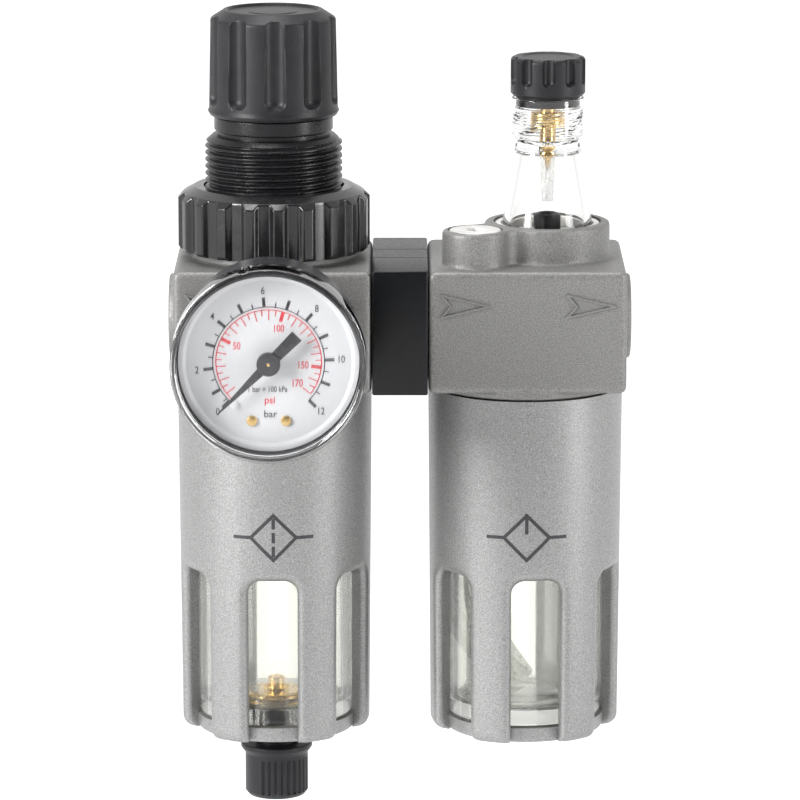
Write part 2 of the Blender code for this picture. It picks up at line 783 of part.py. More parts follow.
def filter_parts():
    """Swirl deflector, element, baffle and the screw that holds them."""
    axis = (FR_X, 0, 0)
    rim_r, top = 14.6, -14.3
    profile = [
        (5.8, top),
        (rim_r, top),
        (rim_r, -22.0),
        (rim_r - 1.2, -22.0),
        (rim_r - 1.2, top - 1.7),
        (5.8, top - 1.7),
    ]
    deflector = turned("swirl_deflector", "white_plastic", profile, axis)
    bm = bmesh.new()
    bmesh.ops.create_cube(bm, size=1)
    bmesh.ops.scale(bm, vec=(1.6 * MM, 3.4 * MM, 5 * MM), verts=bm.verts)
    lean = Matrix.Rotation(math.radians(35), 3, "Y")
    bmesh.ops.rotate(bm, cent=(0, 0, 0), matrix=lean, verts=bm.verts)
    bmesh.ops.translate(bm, vec=(0, -11.0 * MM, -15.2 * MM), verts=bm.verts)
    cut(deflector, copies_about_axis("deflector_slots", bm, 12, 0, axis))
    ring("filter_element", "sintered", 8.6, 6.0, ELEMENT_LOW, ELEMENT_HIGH, axis, UP, LARGE)
    top, under = ELEMENT_LOW - GAP, ELEMENT_LOW - 2.2
    profile = [
        (2.4, top),
        (9.0, top),
        (12.8, top - 3.3),
        (12.8, top - 4.3),
        (8.4, under),
        (2.4, under),
    ]
    turned("filter_baffle", "white_plastic", profile, axis, UP, LARGE)
    head_top = under - GAP
    profile = [
        (0, -13.5),
        (2.1, -13.5),
        (2.1, head_top),
        (4.2, head_top),
        (4.2, head_top - 2.5),
        (0, head_top - 2.5),
    ]
    screw = turned("filter_screw", "brass", profile, axis, UP, SMALL)
    cut(screw, box("filter_screw_slot", None, (0.9, 12, 2), (FR_X, 0, head_top - 2.7)))


# ------------------------------------------------------------------ bowls


def guard(name, centre_x, slot_phase, hole_r):
    """Metal guard with six open-ended slots and a plate below the bowl."""
    axis = (centre_x, 0, 0)
    lip_r, lip_top = BOWL_SOCKET_R - GAP, FLANGE_UNDERSIDE - GAP
    profile = [(lip_r, lip_top), (lip_r, GUARD_TOP), (GUARD_TOP_R, GUARD_TOP)]
    for angle in quarter_turn():
        profile.append(
            (
                GUARD_BOTTOM_R - GUARD_FOOT_R * (1 - math.cos(angle)),
                GUARD_BOTTOM + GUARD_FOOT_R * (1 - math.sin(angle)),
            )
        )
    profile += [(GUARD_BORE_R, GUARD_BOTTOM), (GUARD_BORE_R, lip_top)]
    made = turned(name, "guard_paint", profile, axis, UP, LARGE)
    for pair in range(SLOT_PAIRS):
        turn = math.radians(slot_phase + 180 / SLOT_PAIRS * pair)
        cut(made, slot_tool(f"{name}_slot_{pair + 1}", axis, turn))
    join(made, disc(name + "_plate", None, PLATE_R, GUARD_BOTTOM, PLATE_TOP, axis, UP, LARGE))
    if hole_r:
        low, high = GUARD_BOTTOM - 1, PLATE_TOP + 1
        cut(made, disc(name + "_hole", None, hole_r, low, high, axis))


def quarter_turn(steps=3):
    return [step * math.pi / 2 / steps for step in range(steps + 1)]


def slot_tool(name, at, turn):
    """A bar right across a guard, which cuts two facing slots with rounded tops."""
    half = SLOT_WIDTH / 2
    low = GUARD_BOTTOM - 10
    outline = [(-half, low), (half, low)]
    for angle in quarter_turn():
        outline.append(slot_corner(half, angle, 1))
    for angle in reversed(quarter_turn()):
        outline.append(slot_corner(half, angle, -1))
    return prism(name, None, outline, -30, 30, at, (math.pi / 2, 0, turn))


def slot_corner(half, angle, side):
    x = half - SLOT_CORNER * (1 - math.cos(angle))
    z = SLOT_TOP - SLOT_CORNER * (1 - math.sin(angle))
    return side * x, z


def bowl(name, centre_x, hole_r):
    """Clear bowl whose flange is caught between its guard and the block."""
    axis = (centre_x, 0, 0)
    inner = BOWL_R - BOWL_WALL
    profile = [
        (inner, FLANGE_TOP),
        (FLANGE_R, FLANGE_TOP),
        (FLANGE_R, FLANGE_UNDERSIDE),
        (BOWL_R, FLANGE_UNDERSIDE),
        (BOWL_R, BOWL_BASE),
    ]
    if hole_r:
        profile += [(hole_r, BOWL_BASE), (hole_r, BOWL_FLOOR), (inner, BOWL_FLOOR)]
    else:
        profile = [(0, BOWL_FLOOR), (inner, BOWL_FLOOR), *profile, (0, BOWL_BASE)]
    turned(name, "clear_plastic", profile, axis, UP, LARGE)
    seal = (centre_x, 0, (FLANGE_TOP + BOWL_SOCKET_TOP) / 2)
    o_ring(name + "_o_ring", 18.2, 1.3, seal, UP, LARGE)


def drain_parts():
    """Manual drain: a threaded body held by a nut, and a valve that its knob lifts."""
    axis = (FR_X, 0, 0)
    shoulder_r, tail_r, tail_end = 6.3, 4.6, -100
    profile = [
        (DRAIN_BORE_R, BOWL_FLOOR - 0.1),
        (DRAIN_R, BOWL_FLOOR - 0.1),
        (DRAIN_R, PLATE_TOP),
        (shoulder_r, PLATE_TOP),
        (shoulder_r, -94.6),
        (tail_r, -94.6),
        (tail_r, tail_end),
        (DRAIN_BORE_R, tail_end),
    ]
    turned("drain_body", "black_nylon", profile, axis)
    nut_low = BOWL_FLOOR + GAP
    ring("drain_nut", "brass", 6.5, DRAIN_BORE_R, nut_low, nut_low + 1.5, axis)
    profile = [
        (0, -81.5),
        (1.9, -81.5),
        (2.4, -83.7),
        (1.5, -83.9),
        (1.5, -102.6),
        (0, -102.6),
    ]
    valve = turned("drain_valve", "brass", profile, axis, UP, SMALL)
    cut(valve, box("drain_valve_slot", None, (8, 0.8, 2), (FR_X, 0, -81.4)))
    socket_r, socket_end = tail_r + GAP, tail_end - 2.9
    profile = [
        (socket_r, DRAIN_KNOB_TOP),
        (DRAIN_KNOB_R + 0.97, DRAIN_KNOB_TOP),
        (DRAIN_KNOB_R + 0.97, DRAIN_KNOB_TOP - 1.0),
        (DRAIN_KNOB_R, DRAIN_KNOB_TOP - 2.3),
        (DRAIN_KNOB_R, DRAIN_END + 0.9),
        (DRAIN_KNOB_R - 0.7, DRAIN_END),
        (0, DRAIN_END),
        (0, socket_end),
        (socket_r, socket_end),
    ]
    knob = turned("drain_knob", "black_nylon", profile, axis, UP, LARGE)
    cut(knob, well("drain_outlet", 1.1, DRAIN_END - 1, socket_end + 1, FR_X + 3))


# ------------------------------------------------------------------ gauge


def gauge():
    axis = (FR_X, 0, 0)
    gauge_stem(axis)
    back, front = -GAUGE_Y, -GAUGE_FRONT
    wall = 0.5  # of the case where it widens
    profile = [
        (CASE_R + wall, front - 2.1),
        (CASE_R + wall, RIM_START),
        (CASE_R, RIM_START - 1),
        (CASE_R, back + 1),
        (CASE_R - 1, back),
        (5.3, back),
        (5.3, back + 1.6),
        (CASE_R - 1.6, back + 1.6),
        (CASE_R - wall, RIM_START - 1),
        (CASE_R - wall, front - 2.1),
    ]
    turned("gauge_case", "black_nylon", profile, axis, TO_FRONT, LARGE)
    rim_r = LENS_R - 0.4
    profile = [
        (0, front - 0.3),
        (19.0, front - 0.3),
        (rim_r, front),
        (LENS_R, front - 0.5),
        (LENS_R, RIM_START + 0.5),
        (rim_r, RIM_START + 0.5),
        (rim_r, front - 1.8),
        (0, front - 1.8),
    ]
    turned("gauge_lens", "clear_plastic", profile, axis, TO_FRONT, LARGE)
    gauge_face(axis)
    gauge_movement(axis)
    gauge_pointer(axis)


def gauge_stem(axis):
    """Threaded stem with its square for a spanner and the arm that holds the movement."""
    foot, end = GAUGE_PORT_END + 3, 41
    profile = [(0, end), (5.0, end), (5.0, 30), (4.2, 30), (4.2, foot), (0, foot)]
    stem = turned("gauge_stem", "brass", profile, axis, TO_FRONT)
    length = -GAUGE_Y - HALF_DEPTH - 2 * GAP
    middle = (GAUGE_Y - HALF_DEPTH) / 2
    square = box("stem_square", None, (14, length, 14), (FR_X, middle, 0))
    arm = box("stem_arm", None, (5, 4, 11), (FR_X, 2 - end, -8))
    join(stem, square, arm)
    cut(stem, disc("stem_bore", None, 1.5, foot - 2, end - 3, axis, TO_FRONT, SMALL))


def gauge_face(axis):
    """Dial plate with its two screws."""
    dial = -DIAL_Y
    face = ring("gauge_dial", "dial_paint", DIAL_R, 1.4, dial - 0.8, dial, axis, TO_FRONT, LARGE)
    aside, below = DIAL_SCREWS
    under_head = dial + 0.1
    profile = [
        (0, dial + 0.6),
        (1.1, dial + 0.6),
        (1.1, under_head),
        (0.6, under_head),
        (0.6, dial - 2.9),
        (0, dial - 2.9),
    ]
    for index, x in enumerate((FR_X - aside, FR_X + aside), 1):
        at = (x, 0, below)
        cut(face, disc(f"dial_screw_hole_{index}", None, 0.9, 50, 54, at, TO_FRONT, SMALL))
        turned(f"dial_screw_{index}", "brass", profile, at, TO_FRONT, SMALL)


def gauge_movement(axis):
    """Bourdon tube, plate on two posts, and the toothed sector."""
    tube = []
    for step in range(25):
        angle = math.radians(-68 + step * 270 / 24)
        tube.append((12 * math.cos(angle), -42.6, 12 * math.sin(angle)))
    wire("bourdon_tube", "brass", tube, 2.6, axis)
    plate = ring("gauge_movement", "brass", 10.4, 0.9, 47.2, 48.2, axis, TO_FRONT)
    for index, x in enumerate((FR_X - 3.2, FR_X + 3.2), 1):
        at = (x, 0, 0)
        join(plate, disc(f"movement_post_{index}", None, 0.9, 41.3, 47.6, at, TO_FRONT, SMALL))
    pivot = (FR_X, 0, SECTOR_ARM)
    cut(plate, disc("sector_pivot_hole", None, 0.9, 46, 50, pivot, TO_FRONT, SMALL))
    sector_r = SECTOR_ARM - PINION_R - 0.25
    outline = [(-1.5, 1.2), (1.5, 1.2)]
    for step in range(7):
        angle = math.radians(SECTOR_START - SECTOR_SWEEP * step / 6)
        outline.append(sector_r * direction(angle))
    sector = prism("gauge_sector", "brass", outline, 44.6, 46.0, pivot, TO_FRONT)
    join(sector, disc("sector_pivot", None, 0.6, 45, 48.4, pivot, TO_FRONT, SMALL))


def gauge_pointer(axis):
    """Pointer on its arbor, with the pinion that the sector turns."""
    top, arbor_r, pinion_high, pinion_low = 55.8, 0.6, 46.2, 44.4
    profile = [
        (0, top),
        (HUB_R, top),
        (HUB_R, top - 1.4),
        (arbor_r, top - 1.6),
        (arbor_r, pinion_high),
        (PINION_R, pinion_high),
        (PINION_R, pinion_low),
        (0, pinion_low),
    ]
    pointer = turned("gauge_pointer", "black_nylon", profile, axis, TO_FRONT, SMALL)
    tail, waist, tip = (-POINTER_TAIL, 1.4), (-4.2, 0.8), (POINTER_R, 0.15)
    half = [tail, (waist[0] - 1, tail[1]), waist, (0, waist[1]), tip]
    outline = [*half, *((x, -y) for x, y in reversed(half))]
    turn = (math.pi / 2, -math.radians(POINTER_REST), 0)
    join(pointer, prism("pointer_blade", None, outline, top - 1.3, top - 0.6, axis, turn))


def rear_gauge_plug():
    axis = (FR_X, 0, 0)
    head, end, radius = HALF_DEPTH - 0.2, GAUGE_PORT_END + 5.5, GAUGE_PORT_R - GAP
    made = disc("rear_gauge_plug", "zinc", radius, end, head, axis, TO_BACK)
    cut(made, prism("rear_plug_socket", None, polygon(6, 5), end + 3, head + 2, axis, TO_BACK))


# ------------------------------------------------------------- oil feed


def sight_dome():
    """Clear dome that shows each drop fall from its drip tube, and its seals."""
    axis = (DOME_X, 0, 0)
    shoulder_r, inner_r = 9.8, 8.1
    profile = [
        (7.4, 48.0),
        (7.8, 47.7),
        (7.8, 37.6),
        (7.4, 34.9),
        (6.65, 34.3),
        (shoulder_r, 20.8),
        (shoulder_r, 17.7),
        (DOME_FLANGE_R, 17.7),
        (DOME_FLANGE_R, DOME_LOW),
        (inner_r, DOME_LOW),
        (inner_r, 20.8),
        (5.1, 32.6),
        (1.75, 32.9),
        (1.3, 24.9),
        (0.6, 24.9),
        (0.6, 33.0),
        (1.9, 35.6),
        (5.5, 36.2),
        (5.5, DOME_TOP - 0.2),
        (7.3, DOME_TOP),
    ]
    turned("sight_dome", "clear_plastic", profile, axis)
    ring_r = DOME_SOCKET_R - 0.35
    ring("dome_ring", "zinc", ring_r, 10.1, 18.0, UPSTAND_TOP - 0.4, axis, UP, LARGE)
    o_ring("dome_o_ring", 9.9, 1.4, (DOME_X, 0, DOME_LOW - 1), UP, LARGE)
    seat_top = DOME_LOW - 0.2
    profile = [
        (1.6, 23.0),
        (2.9, 22.6),
        (2.9, seat_top),
        (7.0, seat_top),
        (7.0, seat_top - 1.5),
        (2.2, seat_top - 1.5),
        (2.2, 5.0),
        (1.1, 5.0),
        (1.1, 19.0),
    ]
    turned("drip_seat", "black_nylon", profile, axis)


def feed_parts():
    """Needle that meters the oil, and its knob."""
    axis = (DOME_X, 0, 0)
    shoulder, foot = DOME_TOP - 0.3, 42.4
    profile = [
        (0, 48.0),
        (1.8, 48.0),
        (1.8, shoulder),
        (NEEDLE_R, shoulder),
        (NEEDLE_R, foot),
        (1.7, foot),
        (1.7, 37.2),
        (1.1, 36.4),
        (0.45, 33.2),
        (0, 32.0),
    ]
    turned("feed_needle", "brass", profile, axis)
    skirt_low, collar_low, bore_r = 48.4, DOME_TOP + 0.4, 2.1
    profile = [
        (0, FEED_KNOB_TOP),
        (FEED_KNOB_R - 0.75, FEED_KNOB_TOP),
        (FEED_KNOB_R, FEED_KNOB_TOP - 0.9),
        (FEED_KNOB_R, skirt_low + 0.6),
        (FEED_KNOB_R - 0.55, skirt_low),
        (6.95, skirt_low),
        (6.95, collar_low),
        (bore_r, collar_low),
        (bore_r, skirt_low - 0.1),
        (0, skirt_low - 0.1),
    ]
    knob = turned("feed_knob", "black_nylon", profile, axis, UP, LARGE)
    cut(knob, flute_cutter("feed_flutes", FEED_KNOB_R, 0.7, 1.6, 50.8, 58, 0, axis))


def fill_parts():
    """Filling plug with a hexagon socket, sealed by an o-ring under its head."""
    at = (PLUG_X, PLUG_Y, 0)
    head_low, end = 19.2, 11.5
    profile = [
        (0, UPSTAND_TOP),
        (PLUG_R - 0.25, UPSTAND_TOP),
        (PLUG_R, UPSTAND_TOP - 0.3),
        (PLUG_R, head_low),
        (PLUG_THREAD_R, head_low),
        (PLUG_THREAD_R, end),
        (0, end),
    ]
    plug = turned("fill_plug", "zinc", profile, at)
    cut(plug, prism("fill_socket", None, polygon(6, 4), UPSTAND_TOP - 4, UPSTAND_TOP + 1, at))
    o_ring("fill_plug_o_ring", 5.2, 1.0, (PLUG_X, PLUG_Y, head_low - 0.7))


def siphon():
    """Bent oil tube that lies against the bowl's wall and ends near its floor."""
    route = [
        (DOME_X, SIPHON_Y, -7.4),
        (DOME_X, SIPHON_Y, -14),
        (LUB_X + 2.5, 7.2, -26),
        (LUB_X - 4.5, 4.8, -40),
        (LUB_X - 9.9, 2.8, -52),
        (LUB_X - 10.2, 1.5, -60),
        (LUB_X - 7.0, 0.5, -69),
        (LUB_X - 1.5, 0, -79),
    ]
    points = smooth([Vector(place) for place in route], 3)
    tube = as_mesh(wire("siphon_tube", None, points, SIPHON, resolution=2), "tube_nylon")
    behind = (points[0] - points[1]).normalized() * 2
    ahead = (points[-1] - points[-2]).normalized() * 2
    bore_points = [points[0] + behind, *points[1:-1], points[-1] + ahead]
    cut(tube, as_mesh(wire("siphon_bore", None, bore_points, SIPHON_BORE), None))


def smooth(route, between):
    """A Catmull-Rom curve through the route's points."""
    padded = [2 * route[0] - route[1], *route, 2 * route[-1] - route[-2]]
    points = []
    for a, b, c, d in zip(padded, padded[1:], padded[2:], padded[3:]):
        square = 2 * a - 5 * b + 4 * c - d
        cube = 3 * b - a - 3 * c + d
        for step in range(between):
            t = step / between
            points.append(b + ((c - a) * t + square * t**2 + cube * t**3) / 2)
    points.append(route[-1])
    return points


def flow_flap():
    """Rubber flap across the flow, which bends open as the flow grows."""
    start = DOME_X + 4.5
    ring("flow_flap", "rubber", PORT_R - GAP, 1.5, start, start + 1, (0, 0, 0), TO_RIGHT)


def shade():
    """Shades the finished meshes smooth, with sharp edges where faces turn steeply."""
    graph = bpy.context.evaluated_depsgraph_get()
    for obj in PARTS.objects:
        if obj.type != "MESH":
            continue
        mesh = bpy.data.meshes.new_from_object(obj.evaluated_get(graph))
        obj.modifiers.clear()
        obj.data = mesh
        mesh.shade_smooth()
        mesh.set_sharp_from_angle(angle=math.radians(SHARP))


def main():
    fr_body()
    lub_body()
    joint_block()
    bonnet()
    ring_nut()
    regulator_knob()
    adjusting_parts()
    diaphragm_parts()
    valve_parts()
    filter_parts()
    bowl("filter_bowl", FR_X, 4.2)
    guard("filter_guard", FR_X, -2, 6.6)
    drain_parts()
    gauge()
    rear_gauge_plug()
    bowl("oil_bowl", LUB_X, 0)
    guard("oil_guard", LUB_X, 7.5, 0)
    siphon()
    sight_dome()
    feed_parts()
    fill_parts()
    flow_flap()
    shade()


main()
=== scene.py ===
"""Looks of the filter regulator and lubricator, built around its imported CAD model.

Sizes are in millimetres and MM turns them into metres. +X runs with the air flow,
the gauge faces -Y and +Z is up. Angles round an upright axis start at the front
and grow towards +X; angles on the dial are those of a graph seen from the front.
"""

import json
import math

import bmesh
import bpy
import numpy as np
from mathutils import Matrix, Vector


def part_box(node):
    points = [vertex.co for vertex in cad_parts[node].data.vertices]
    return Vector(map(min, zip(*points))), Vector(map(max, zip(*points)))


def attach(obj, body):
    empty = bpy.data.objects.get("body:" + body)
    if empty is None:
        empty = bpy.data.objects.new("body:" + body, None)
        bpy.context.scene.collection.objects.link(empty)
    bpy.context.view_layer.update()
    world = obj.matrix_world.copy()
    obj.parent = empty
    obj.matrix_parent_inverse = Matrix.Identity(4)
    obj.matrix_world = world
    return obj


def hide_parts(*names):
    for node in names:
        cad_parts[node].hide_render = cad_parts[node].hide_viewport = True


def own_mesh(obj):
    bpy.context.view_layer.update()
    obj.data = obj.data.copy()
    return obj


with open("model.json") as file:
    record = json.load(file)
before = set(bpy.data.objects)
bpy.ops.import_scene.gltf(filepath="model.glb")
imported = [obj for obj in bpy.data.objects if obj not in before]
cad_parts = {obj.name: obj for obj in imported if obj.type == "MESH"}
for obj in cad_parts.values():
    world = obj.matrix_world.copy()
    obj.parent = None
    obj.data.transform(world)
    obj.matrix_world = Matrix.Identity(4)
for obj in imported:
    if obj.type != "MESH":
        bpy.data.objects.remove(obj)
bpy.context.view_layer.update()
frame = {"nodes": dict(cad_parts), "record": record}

MM = 0.001


def middle(node):
    """The middle of a CAD node's box."""
    low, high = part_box(node)
    return (low + high) / 2 / MM


def ends(node, along=2):
    """Where a CAD node begins and ends along one axis."""
    low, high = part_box(node)
    return low[along] / MM, high[along] / MM


FR = middle("filter_bowl").x  # axis of the filter regulator
LUB = middle("oil_bowl").x  # axis of the lubricator
JOINT = middle("joint_block").x
DOME = middle("sight_dome").x
PLUG = middle("fill_plug")
BLOCK_WIDTH = 42.9
HALF_DEPTH = ends("fr_body", 1)[1]
HALF_HEIGHT = 13.4
BOSS = 1.5  # how far a port boss stands out
BOSS_R = 9.3
PRINT = 0.03  # thickness of ink
FRONT = Matrix.Rotation(math.pi / 2, 4, "X")  # turns up into forwards
BACK = Matrix.Rotation(-math.pi / 2, 4, "X")
RIGHT = Matrix.Rotation(math.pi / 2, 4, "Y")


def at(x, y=0, z=0):
    return Matrix.Translation((x, y, z))


# ------------------------------------------------------------------ shapes


def placed(name, data):
    """A new object in the scene that shows this mesh, curve, light or camera."""
    obj = bpy.data.objects.new(name, data)
    bpy.context.scene.collection.objects.link(obj)
    return obj


def new_object(name, verts, faces):
    """A mesh object from points in millimetres, its faces turned outwards."""
    mesh = bpy.data.meshes.new(name)
    mesh.from_pydata([Vector(v) * MM for v in verts], [], faces)
    obj = placed(name, mesh)
    face_outwards(obj)
    return obj


def face_outwards(obj, weld=1e-7):
    bm = bmesh.new()
    bm.from_mesh(obj.data)
    bmesh.ops.remove_doubles(bm, verts=bm.verts, dist=weld)
    bmesh.ops.dissolve_degenerate(bm, edges=bm.edges, dist=weld)
    bmesh.ops.recalc_face_normals(bm, faces=bm.faces)
    bm.to_mesh(obj.data)
    bm.free()


def rounded(points, closed=True, step=math.radians(18)):
    """The outline with each point that carries a third number turned into an arc of that radius."""
    made = []
    count = len(points)
    for index, point in enumerate(points):
        here = Vector(point[:2])
        inner = closed or 0 < index < count - 1
        if len(point) < 3 or not inner:
            made.append(tuple(here))
            continue
        before = Vector(points[index - 1][:2]) - here
        after = Vector(points[(index + 1) % count][:2]) - here
        corner = before.angle(after)
        radius = point[2]
        reach = radius / math.tan(corner / 2)
        start = here + before.normalized() * reach
        centre = here + (before.normalized() + after.normalized()).normalized() * (
            radius / math.sin(corner / 2)
        )
        sweep = math.pi - corner
        turn = math.copysign(1, before.x * after.y - before.y * after.x) * -1
        steps = max(2, math.ceil(sweep / step))
        for number in range(steps + 1):
            spoke = Matrix.Rotation(turn * sweep * number / steps, 2) @ (start - centre)
            made.append(tuple(centre + spoke))
    return made


def lathe(name, profile, place=at(0), sides=96, swell=None, rows=None):
    """A solid turned about its own Z from a profile of (radius, height[, fillet]).

    A profile that starts on the axis also ends there; any other one is closed.
    rows is the most that two rows may be apart, and swell(radius, height, angle)
    gives each point its radius.
    """
    closed = profile[0][0] > 0
    outline = rounded(profile, closed)
    if rows:
        outline = divided(outline, rows, closed)
    verts, rings = [], []
    for radius, height in outline:
        if radius < 1e-6:
            rings.append([len(verts)])
            verts.append(place @ Vector((0, 0, height)))
            continue
        rings.append(list(range(len(verts), len(verts) + sides)))
        for side in range(sides):
            angle = 2 * math.pi * side / sides
            reach = swell(radius, height, angle) if swell else radius
            verts.append(
                place @ Vector((reach * math.sin(angle), -reach * math.cos(angle), height))
            )
    pairs = list(zip(rings, rings[1:]))
    if closed:
        pairs.append((rings[-1], rings[0]))
    faces = []
    for above, below in pairs:
        faces += strip(above, below, sides)
    return new_object(name, verts, faces)


def strip(above, below, sides):
    """Faces between two rings, either of which may be a single point."""
    if len(above) == len(below) == 1:
        return []
    faces = []
    for side in range(sides):
        after = (side + 1) % sides
        if len(above) == 1:
            faces.append((above[0], below[side], below[after]))
        elif len(below) == 1:
            faces.append((above[side], below[0], above[after]))
        else:
            faces.append((above[side], below[side], below[after], above[after]))
    return faces


def divided(outline, longest, closed):
    """The outline with more points, so that no stretch is longer than asked."""
    made = []
    following = outline[1:] + (outline[:1] if closed else [])
    for start, end in zip(outline, following):
        gap = math.dist(start, end)
        count = max(1, math.ceil(gap / longest))
        for step in range(count):
            share = step / count
            made.append(tuple(a + (b - a) * share for a, b in zip(start, end)))
    if not closed:
        made.append(outline[-1])
    return made


def extrude(bm, faces, way):
    """Raises flat faces into solids."""
    raised = bmesh.ops.extrude_face_region(bm, geom=faces)["geom"]
    lifted = [item for item in raised if isinstance(item, bmesh.types.BMVert)]
    bmesh.ops.translate(bm, vec=way, verts=lifted)


def slab(name, outline, low, high, place=at(0), bevel=0.0, segments=3, only_top=False):
    """A flat outline raised along its own Z, with its rims bevelled."""
    bm = bmesh.new()
    base = bm.faces.new([bm.verts.new((x, y, low)) for x, y in outline])
    extrude(bm, [base], (0, 0, high - low))
    if bevel:
        rims = [
            edge
            for edge in bm.edges
            if abs(edge.verts[0].co.z - edge.verts[1].co.z) < 1e-6
            and (edge.verts[0].co.z > low + 1e-6 or not only_top)
        ]
        bmesh.ops.bevel(
            bm, geom=rims, offset=bevel, segments=segments, profile=0.5, affect="EDGES"
        )
    return from_bmesh(name, bm, place)


def from_bmesh(name, bm, place=at(0)):
    bmesh.ops.transform(bm, matrix=Matrix.Scale(MM, 4) @ place, verts=bm.verts)
    bmesh.ops.recalc_face_normals(bm, faces=bm.faces)
    mesh = bpy.data.meshes.new(name)
    bm.to_mesh(mesh)
    bm.free()
    return placed(name, mesh)


def block(name, size, place, bevel=0.0, segments=4):
    """A box of that size with its edges rounded."""
    bm = bmesh.new()
    bmesh.ops.create_cube(bm, size=1)
    bmesh.ops.scale(bm, vec=size, verts=bm.verts)
    if bevel:
        bmesh.ops.bevel(
            bm, geom=bm.edges[:], offset=bevel, segments=segments, profile=0.5, affect="EDGES"
        )
    return from_bmesh(name, bm, place)


def polygon(corners, across, start=0.0):
    """A regular outline, measured across its flats."""
    radius = across / 2 / math.cos(math.pi / corners)
    turns = [start + number * 2 * math.pi / corners for number in range(corners)]
    return [(radius * math.cos(turn), radius * math.sin(turn)) for turn in turns]


def final_mesh(obj):
    """What a curve, a text or an object with modifiers comes to, as a mesh."""
    graph = bpy.context.evaluated_depsgraph_get()
    return bpy.data.meshes.new_from_object(obj.evaluated_get(graph))


def bake(obj):
    """Turns the object's modifiers into its mesh."""
    mesh = final_mesh(obj)
    old = obj.data
    obj.modifiers.clear()
    obj.data = mesh
    bpy.data.meshes.remove(old)
    return obj


def boolean(obj, operation, *tools):
    for tool in tools:
        modifier = obj.modifiers.new(tool.name, "BOOLEAN")
        modifier.operation = operation
        modifier.solver = "MANIFOLD"
        modifier.object = tool
    bake(obj)
    for tool in tools:
        bpy.data.objects.remove(tool)
    return obj


def join(obj, *others):
    """One object that holds the meshes of several."""
    bm = bmesh.new()
    for part in (obj, *others):
        bm.from_mesh(part.data)
    bm.to_mesh(obj.data)
    bm.free()
    for part in others:
        bpy.data.objects.remove(part)
    return obj


def remesh(obj, voxel, smooth):
    """Recasts overlapping solids as one skin with soft edges, as a die casting has."""
    cast = obj.modifiers.new("Cast", "REMESH")
    cast.mode = "VOXEL"
    cast.voxel_size = voxel * MM
    relax = obj.modifiers.new("Relax", "SMOOTH")
    relax.factor = 0.5
    relax.iterations = smooth
    return bake(obj)


def pipe(name, path, outer, inner, sides=40, cut_lean=0.0):
    """A tube with a wall along a path; cut_lean slants its far end."""
    points = [Vector(p) for p in path]
    across = Vector((0, 1, 0))
    verts, rings = [], []
    for radius in (outer, inner):
        for index, point in enumerate(points):
            ahead = points[min(index + 1, len(points) - 1)] - points[max(index - 1, 0)]
            ahead.normalize()
            side = (across - ahead * across.dot(ahead)).normalized()
            other = ahead.cross(side)
            lean = cut_lean if index == len(points) - 1 else 0
            rings.append(list(range(len(verts), len(verts) + sides)))
            for number in range(sides):
                turn = 2 * math.pi * number / sides
                reach = radius * (math.cos(turn) * other + math.sin(turn) * side)
                verts.append(point + reach + ahead * lean * math.cos(turn) * radius)
    count = len(points)
    faces = []
    for ring in range(count - 1):
        faces += strip(rings[ring], rings[ring + 1], sides)
        faces += strip(rings[count + ring], rings[count + ring + 1], sides)
    faces += strip(rings[0], rings[count], sides)
    faces += strip(rings[count - 1], rings[-1], sides)
    return new_object(name, verts, faces)


def curve_through(route, between):
    """A Catmull-Rom curve through the route's points."""
    route = [Vector(point) for point in route]
    padded = [2 * route[0] - route[1], *route, 2 * route[-1] - route[-2]]
    points = []
    for a, b, c, d in zip(padded, padded[1:], padded[2:], padded[3:]):
        for step in range(between):
            t = step / between
            cubic = (3 * b - a - 3 * c + d) * t**3
            square = (2 * a - 5 * b + 4 * c - d) * t**2
            points.append((2 * b + (c - a) * t + square + cubic) / 2)
    points.append(route[-1])
    return points


def stroke(start, end, width, square=False):
    """The outline of a straight mark between two points."""
    start, end = Vector(start), Vector(end)
    along = (end - start).normalized() * width / 2
    side = Vector((-along.y, along.x))
    if square:
        start, end = start - along, end + along
    return [tuple(p) for p in (start + side, start - side, end - side, end + side)]


# --------------------------------------------------------------- materials


